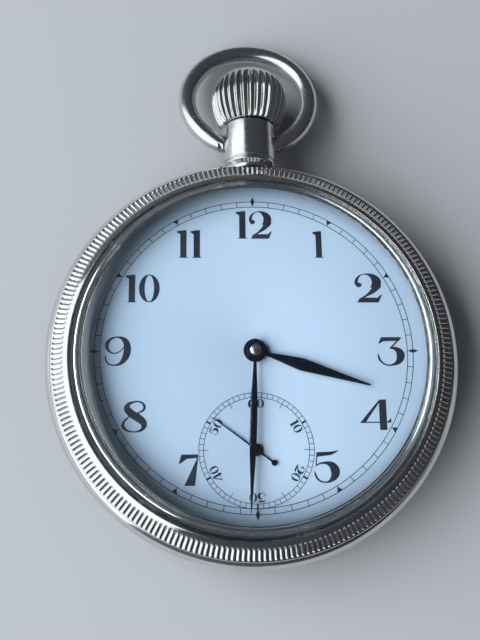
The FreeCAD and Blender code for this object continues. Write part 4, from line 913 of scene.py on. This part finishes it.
# hour numerals: x from, x to, y from, y to
HOURS = {
    "12": (-2.18, 2.42, 14.60, 18.36), "1": (7.56, 8.93, 12.07, 15.68),
    "2": (12.70, 16.12, 6.21, 10.04), "3": (15.16, 18.55, -1.90, 1.74),
    "4": (12.58, 16.40, -9.77, -6.06), "5": (6.81, 9.88, -16.02, -12.11),
    "7": (-9.29, -6.97, -16.19, -12.51), "8": (-16.12, -13.07, -9.88, -6.04),
    "9": (-18.32, -15.13, -1.78, 1.91), "10": (-16.00, -11.72, 6.22, 9.83),
    "11": (-9.65, -6.50, 12.03, 15.74)}
numerals = Print()
for text, (x0, x1, y0, y1) in HOURS.items():
    numerals.digits(text, lambda u, v: (x0 + (x1 - x0) * u, y0 + (y1 - y0) * v))
numerals.make("dial_numerals")

# minute track: two rings, a bar each minute, diamonds at the quarters, triangles at other hours
OUTER, INNER, LINE = 19.6, 18.9, 0.085
DIAMOND = [(OUTER - 0.68, 0.0), (OUTER, 0.26), (OUTER + 0.68, 0.0), (OUTER, -0.26)]
TRIANGLE = [(OUTER + LINE / 2, 0.40), (OUTER + LINE / 2, -0.40), (OUTER - 0.62, 0.0)]
track = Print()
track.ring(OUTER, LINE, 480)
track.ring(INNER, LINE, 480)
for k in range(60):
    if k % 15:
        track.bar(INNER + LINE / 2, OUTER - LINE / 2, LINE, k * 6)
for k in range(12):
    track.marker(TRIANGLE if k % 3 else DIAMOND, k * 30, lift=0.014)
    if k % 3 == 0:
        track.bar(INNER, OUTER - 0.5, LINE if k != 6 else 2 * LINE, k * 30, lift=0.013)
track.make("dial_minute_track")

# seconds track: longer bars at the fives, wide ones at the tens, and six small numbers
OUTER, INNER, LINE = 6.9, 6.33, 0.075
BAR, WIDE_BAR, BOTTOM_BAR = 0.07, 0.24, 0.2
NUMBER_R, NUMBER_HEIGHT = 5.02, 1.12
seconds = Print(SUB_Y)
seconds.ring(OUTER, LINE, 240)
seconds.ring(INNER, LINE, 240)
for k in range(60):
    if k % 10 == 0 and k:
        seconds.bar(INNER, OUTER, WIDE_BAR if k != 30 else BOTTOM_BAR, k * 6, lift=0.014)
    elif k % 10 == 5:
        seconds.bar(INNER - 0.62, OUTER - LINE / 2, BAR, k * 6, lift=0.013)
    else:
        seconds.bar(INNER + LINE / 2, OUTER - LINE / 2, BAR if k else 0.2, k * 6)
for k, text in enumerate(("60", "10", "20", "30", "40", "50")):
    width = 1.55 if text == "10" else 1.95
    seconds.digits(text, lambda u, v: clock(NUMBER_R + v * NUMBER_HEIGHT, (u - 0.5) * width,
                                            k * 60, SUB_Y), thin=-0.006)
seconds.make("dial_seconds_track")

# ---------------------------------------------------------------- hands
# low domed section: fraction of the half width, fraction of the height
SECTION = [(-1.0, 0.0), (-1.0, 0.55), (-0.86, 0.86), (-0.45, 0.98), (0.0, 1.0), (0.45, 0.98),
           (0.86, 0.86), (1.0, 0.55), (1.0, 0.0)]


def blade(stations, bottom, top, step=0.5):
    """A slim pointed hand along +Y through stations of (y, half width)."""
    stations = split_edges(stations, lambda a, b: int(abs(b[0] - a[0]) / step))
    m = len(SECTION)
    points = [(u * half, y, bottom + (top - bottom) * v)
              for y, half in stations for u, v in SECTION]
    faces = []
    for base in range(0, len(points) - m, m):
        for k in range(m):
            a, b = base + k, base + (k + 1) % m
            faces.append((a, b, b + m, a + m))
    faces += [tuple(range(m))[::-1], tuple(range(len(points) - m, len(points)))]
    return points, faces


def make_hand(name, parts, mats, deg, body, node, y=0.0):
    """Join parts of (shape, material number) and turn them clockwise from 12 o'clock."""
    points, faces = join(*[shape for shape, _ in parts])
    points = [(*clock(py, px, deg, y), pz) for px, py, pz in points]
    marks = [mark for shape, mark in parts for _ in shape[1]]
    attach(make(name, (points, faces), mats, sharp=38.0, marks=marks), body, "dark_hands", node)


HOUR_BLADE = [(1.0, 0.19), (2.2, 0.30), (4.2, 0.58), (5.4, 0.73), (6.0, 0.77), (6.7, 0.73),
              (9.5, 0.49), (12.5, 0.26), (14.3, 0.13), (14.7, 0.06)]
HOUR_BOSS = [(0.92, 8.36, 0.02), (1.45, 8.36, 0.03), (1.45, 8.60, 0.09), (0.92, 8.60, 0.05)]
make_hand("hour_hand_leaf", [(blade(HOUR_BLADE, 8.36, 8.57), 0),
                             (lathe(soften(HOUR_BOSS, 4), 72), 0)],
          [BLUED], HOUR_DEG, "hour", "hour_hand")

MINUTE_BLADE = [(0.8, 0.15), (3.0, 0.26), (6.0, 0.40), (7.0, 0.425), (11.0, 0.425),
                (12.2, 0.40), (15.5, 0.24), (18.8, 0.10), (19.5, 0.04)]
MINUTE_BOSS = [(0.57, 8.82, 0.02), (1.1, 8.82, 0.03), (1.1, 9.04, 0.08), (0.57, 9.04, 0.04)]
CAP = [(0.0, 9.32), (0.30, 9.30, 0.18), (0.58, 9.18, 0.12), (0.70, 9.06, 0.04), (0.70, 9.05),
       (0.0, 9.05)]
make_hand("minute_hand_leaf", [(blade(MINUTE_BLADE, 8.82, 9.01), 0),
                               (lathe(soften(MINUTE_BOSS, 4), 72), 0),
                               (lathe(soften(CAP), 64), 1)],
          [BLUED, BOSS_STEEL], MINUTE_DEG, "centre", "minute_hand")

SECONDS_BLADE = [(-2.45, 0.10), (-0.5, 0.11), (0.6, 0.10), (6.2, 0.055), (6.5, 0.03)]
SECONDS_BOSS = [(0.0, 8.12), (0.75, 8.12, 0.03), (0.75, 8.24, 0.06), (0.45, 8.34, 0.12),
                (0.0, 8.36)]
TAIL_DISC = [(0.0, 8.12), (0.36, 8.12, 0.02), (0.36, 8.21, 0.03), (0.0, 8.22)]
make_hand("seconds_hand_slim", [(blade(SECONDS_BLADE, 8.12, 8.22, step=0.4), 0),
                                (lathe(soften(SECONDS_BOSS, 4), 64), 1),
                                (lathe(soften(TAIL_DISC, 4), 40, shifted(0.0, -2.57)), 0)],
          [BLUED, BOSS_BRONZE], SECONDS_DEG, "fourth", "seconds_hand", SUB_Y)

# ---------------------------------------------------------------- CAD nodes that stay
REPLACED = {"case_band", "bezel", "crystal", "back_cover", "pendant", "bow", "crown", "dial",
            "hour_hand", "minute_hand", "seconds_hand"}
BY_NODE = {"hairspring": BLUE, "mainspring": STEEL, "jewels": RUBY, "pallet_stones": RUBY,
           "impulse_jewel": RUBY}
# by part of the CAD material's name; the first match in this order wins
BY_SLOT = {"case_nickel": NICKEL, "glass_dome": GLASS, "dial_enamel": ENAMEL,
           "dark_hands": BLUED, "plate_brass": PLATE, "wheel_brass": WHEEL, "steel": STEEL,
           "ruby": RUBY}
for name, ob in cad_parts.items():
    if name in REPLACED:
        continue
    old = [m.name.split(".")[0] if m else "" for m in ob.data.materials]
    by_slot = next((mat for key, mat in BY_SLOT.items() if any(key in o for o in old)), STEEL)
    mat = BY_NODE.get(name, by_slot)
    if not ob.material_slots:
        ob.data.materials.append(mat)
    for slot in ob.material_slots:
        slot.material = mat

# ---------------------------------------------------------------- floor and lights, in metres
FLOOR_HALF, FLOOR_Z = 3.0, -0.00031
mesh = bpy.data.meshes.new("floor")
mesh.from_pydata([(x * FLOOR_HALF, y * FLOOR_HALF, FLOOR_Z)
                  for x, y in ((-1, -1), (1, -1), (1, 1), (-1, 1))], [], [(0, 1, 2, 3)])
mesh.materials.append(pale_floor())
floor = bpy.data.objects.new("floor", mesh)
bpy.context.scene.collection.objects.link(floor)


def softbox(name, at, size, power, colour):
    """A rectangular lamp aimed at the origin and hidden from the camera."""
    lamp = bpy.data.lights.new(name, "AREA")
    lamp.shape = "RECTANGLE"
    lamp.size, lamp.size_y = size
    lamp.energy, lamp.color = power, colour
    ob = bpy.data.objects.new(name, lamp)
    bpy.context.scene.collection.objects.link(ob)
    ob.location = at
    ob.rotation_mode = "QUATERNION"
    ob.rotation_quaternion = (-Vector(at)).to_track_quat("-Z", "Y")
    ob.visible_camera = False
    return ob


# one soft window, split so that its mirror image in the polished metal keeps its detail
fill = softbox("window_left", at=(-0.682, -0.120, 0.400), size=(1.50, 0.84), power=29.5,
               colour=(0.84, 0.90, 1.0))
fill.visible_glossy = False
image = softbox("window_left_image", at=(-0.638, -0.112, 0.470), size=(1.50, 1.04), power=7.0,
                colour=(0.93, 0.97, 1.0))
image.visible_diffuse = False

# ---------------------------------------------------------------- world
# Separate surroundings for the camera, for diffuse light and for mirror images; the mirrored
# one is darker overhead, and brighter towards -X than +X.
world = bpy.data.worlds.new("soft_studio")
bpy.context.scene.world = world
g = Nodes(world, "Generated")
axes = g.add("ShaderNodeSeparateXYZ", Vector=g.coords)
left = g.remap(axes.outputs[0], span=(0.6, -0.9))
low = g.remap(axes.outputs[2], span=(0.0, 0.7), to=(1.0, 0.0))
around = g.mix(left, (0.030, 0.026, 0.023), (0.20, 0.22, 0.26))
sky = g.mix(low, (0.055, 0.06, 0.07), around)
seen, mirrored, ambient = [g.add("ShaderNodeBackground", Color=colour, Strength=1.0)
                           for colour in ((0.66, 0.67, 0.68), sky, (0.12, 0.13, 0.15))]
path = g.add("ShaderNodeLightPath")
unseen = g.mix_shader(path.outputs["Is Diffuse Ray"], mirrored, ambient)
g.finish(g.mix_shader(path.outputs["Is Camera Ray"], unseen, seen), "World")

# ---------------------------------------------------------------- camera and render settings
camera_data = bpy.data.cameras.new("camera")
camera_data.sensor_width, camera_data.lens = 36.0, 48.85
camera_data.clip_start, camera_data.clip_end = 0.005, 10.0
camera = bpy.data.objects.new("camera", camera_data)
scene = bpy.context.scene
scene.collection.objects.link(camera)
forward = Vector((0.0503, 0.2511, -0.9667)).normalized()
right = forward.cross(Vector((0.0008, 0.9679, 0.2514)).normalized()).normalized()
up = right.cross(forward).normalized()
camera.matrix_world = (Matrix.Translation((-7.2 * MM, -23.05 * MM, 112.3 * MM))
                       @ Matrix((right, up, -forward)).transposed().to_4x4())
scene.camera = camera
scene.view_settings.view_transform = "Standard"
scene.cycles.caustics_refractive = False
scene.cycles.caustics_reflective = False
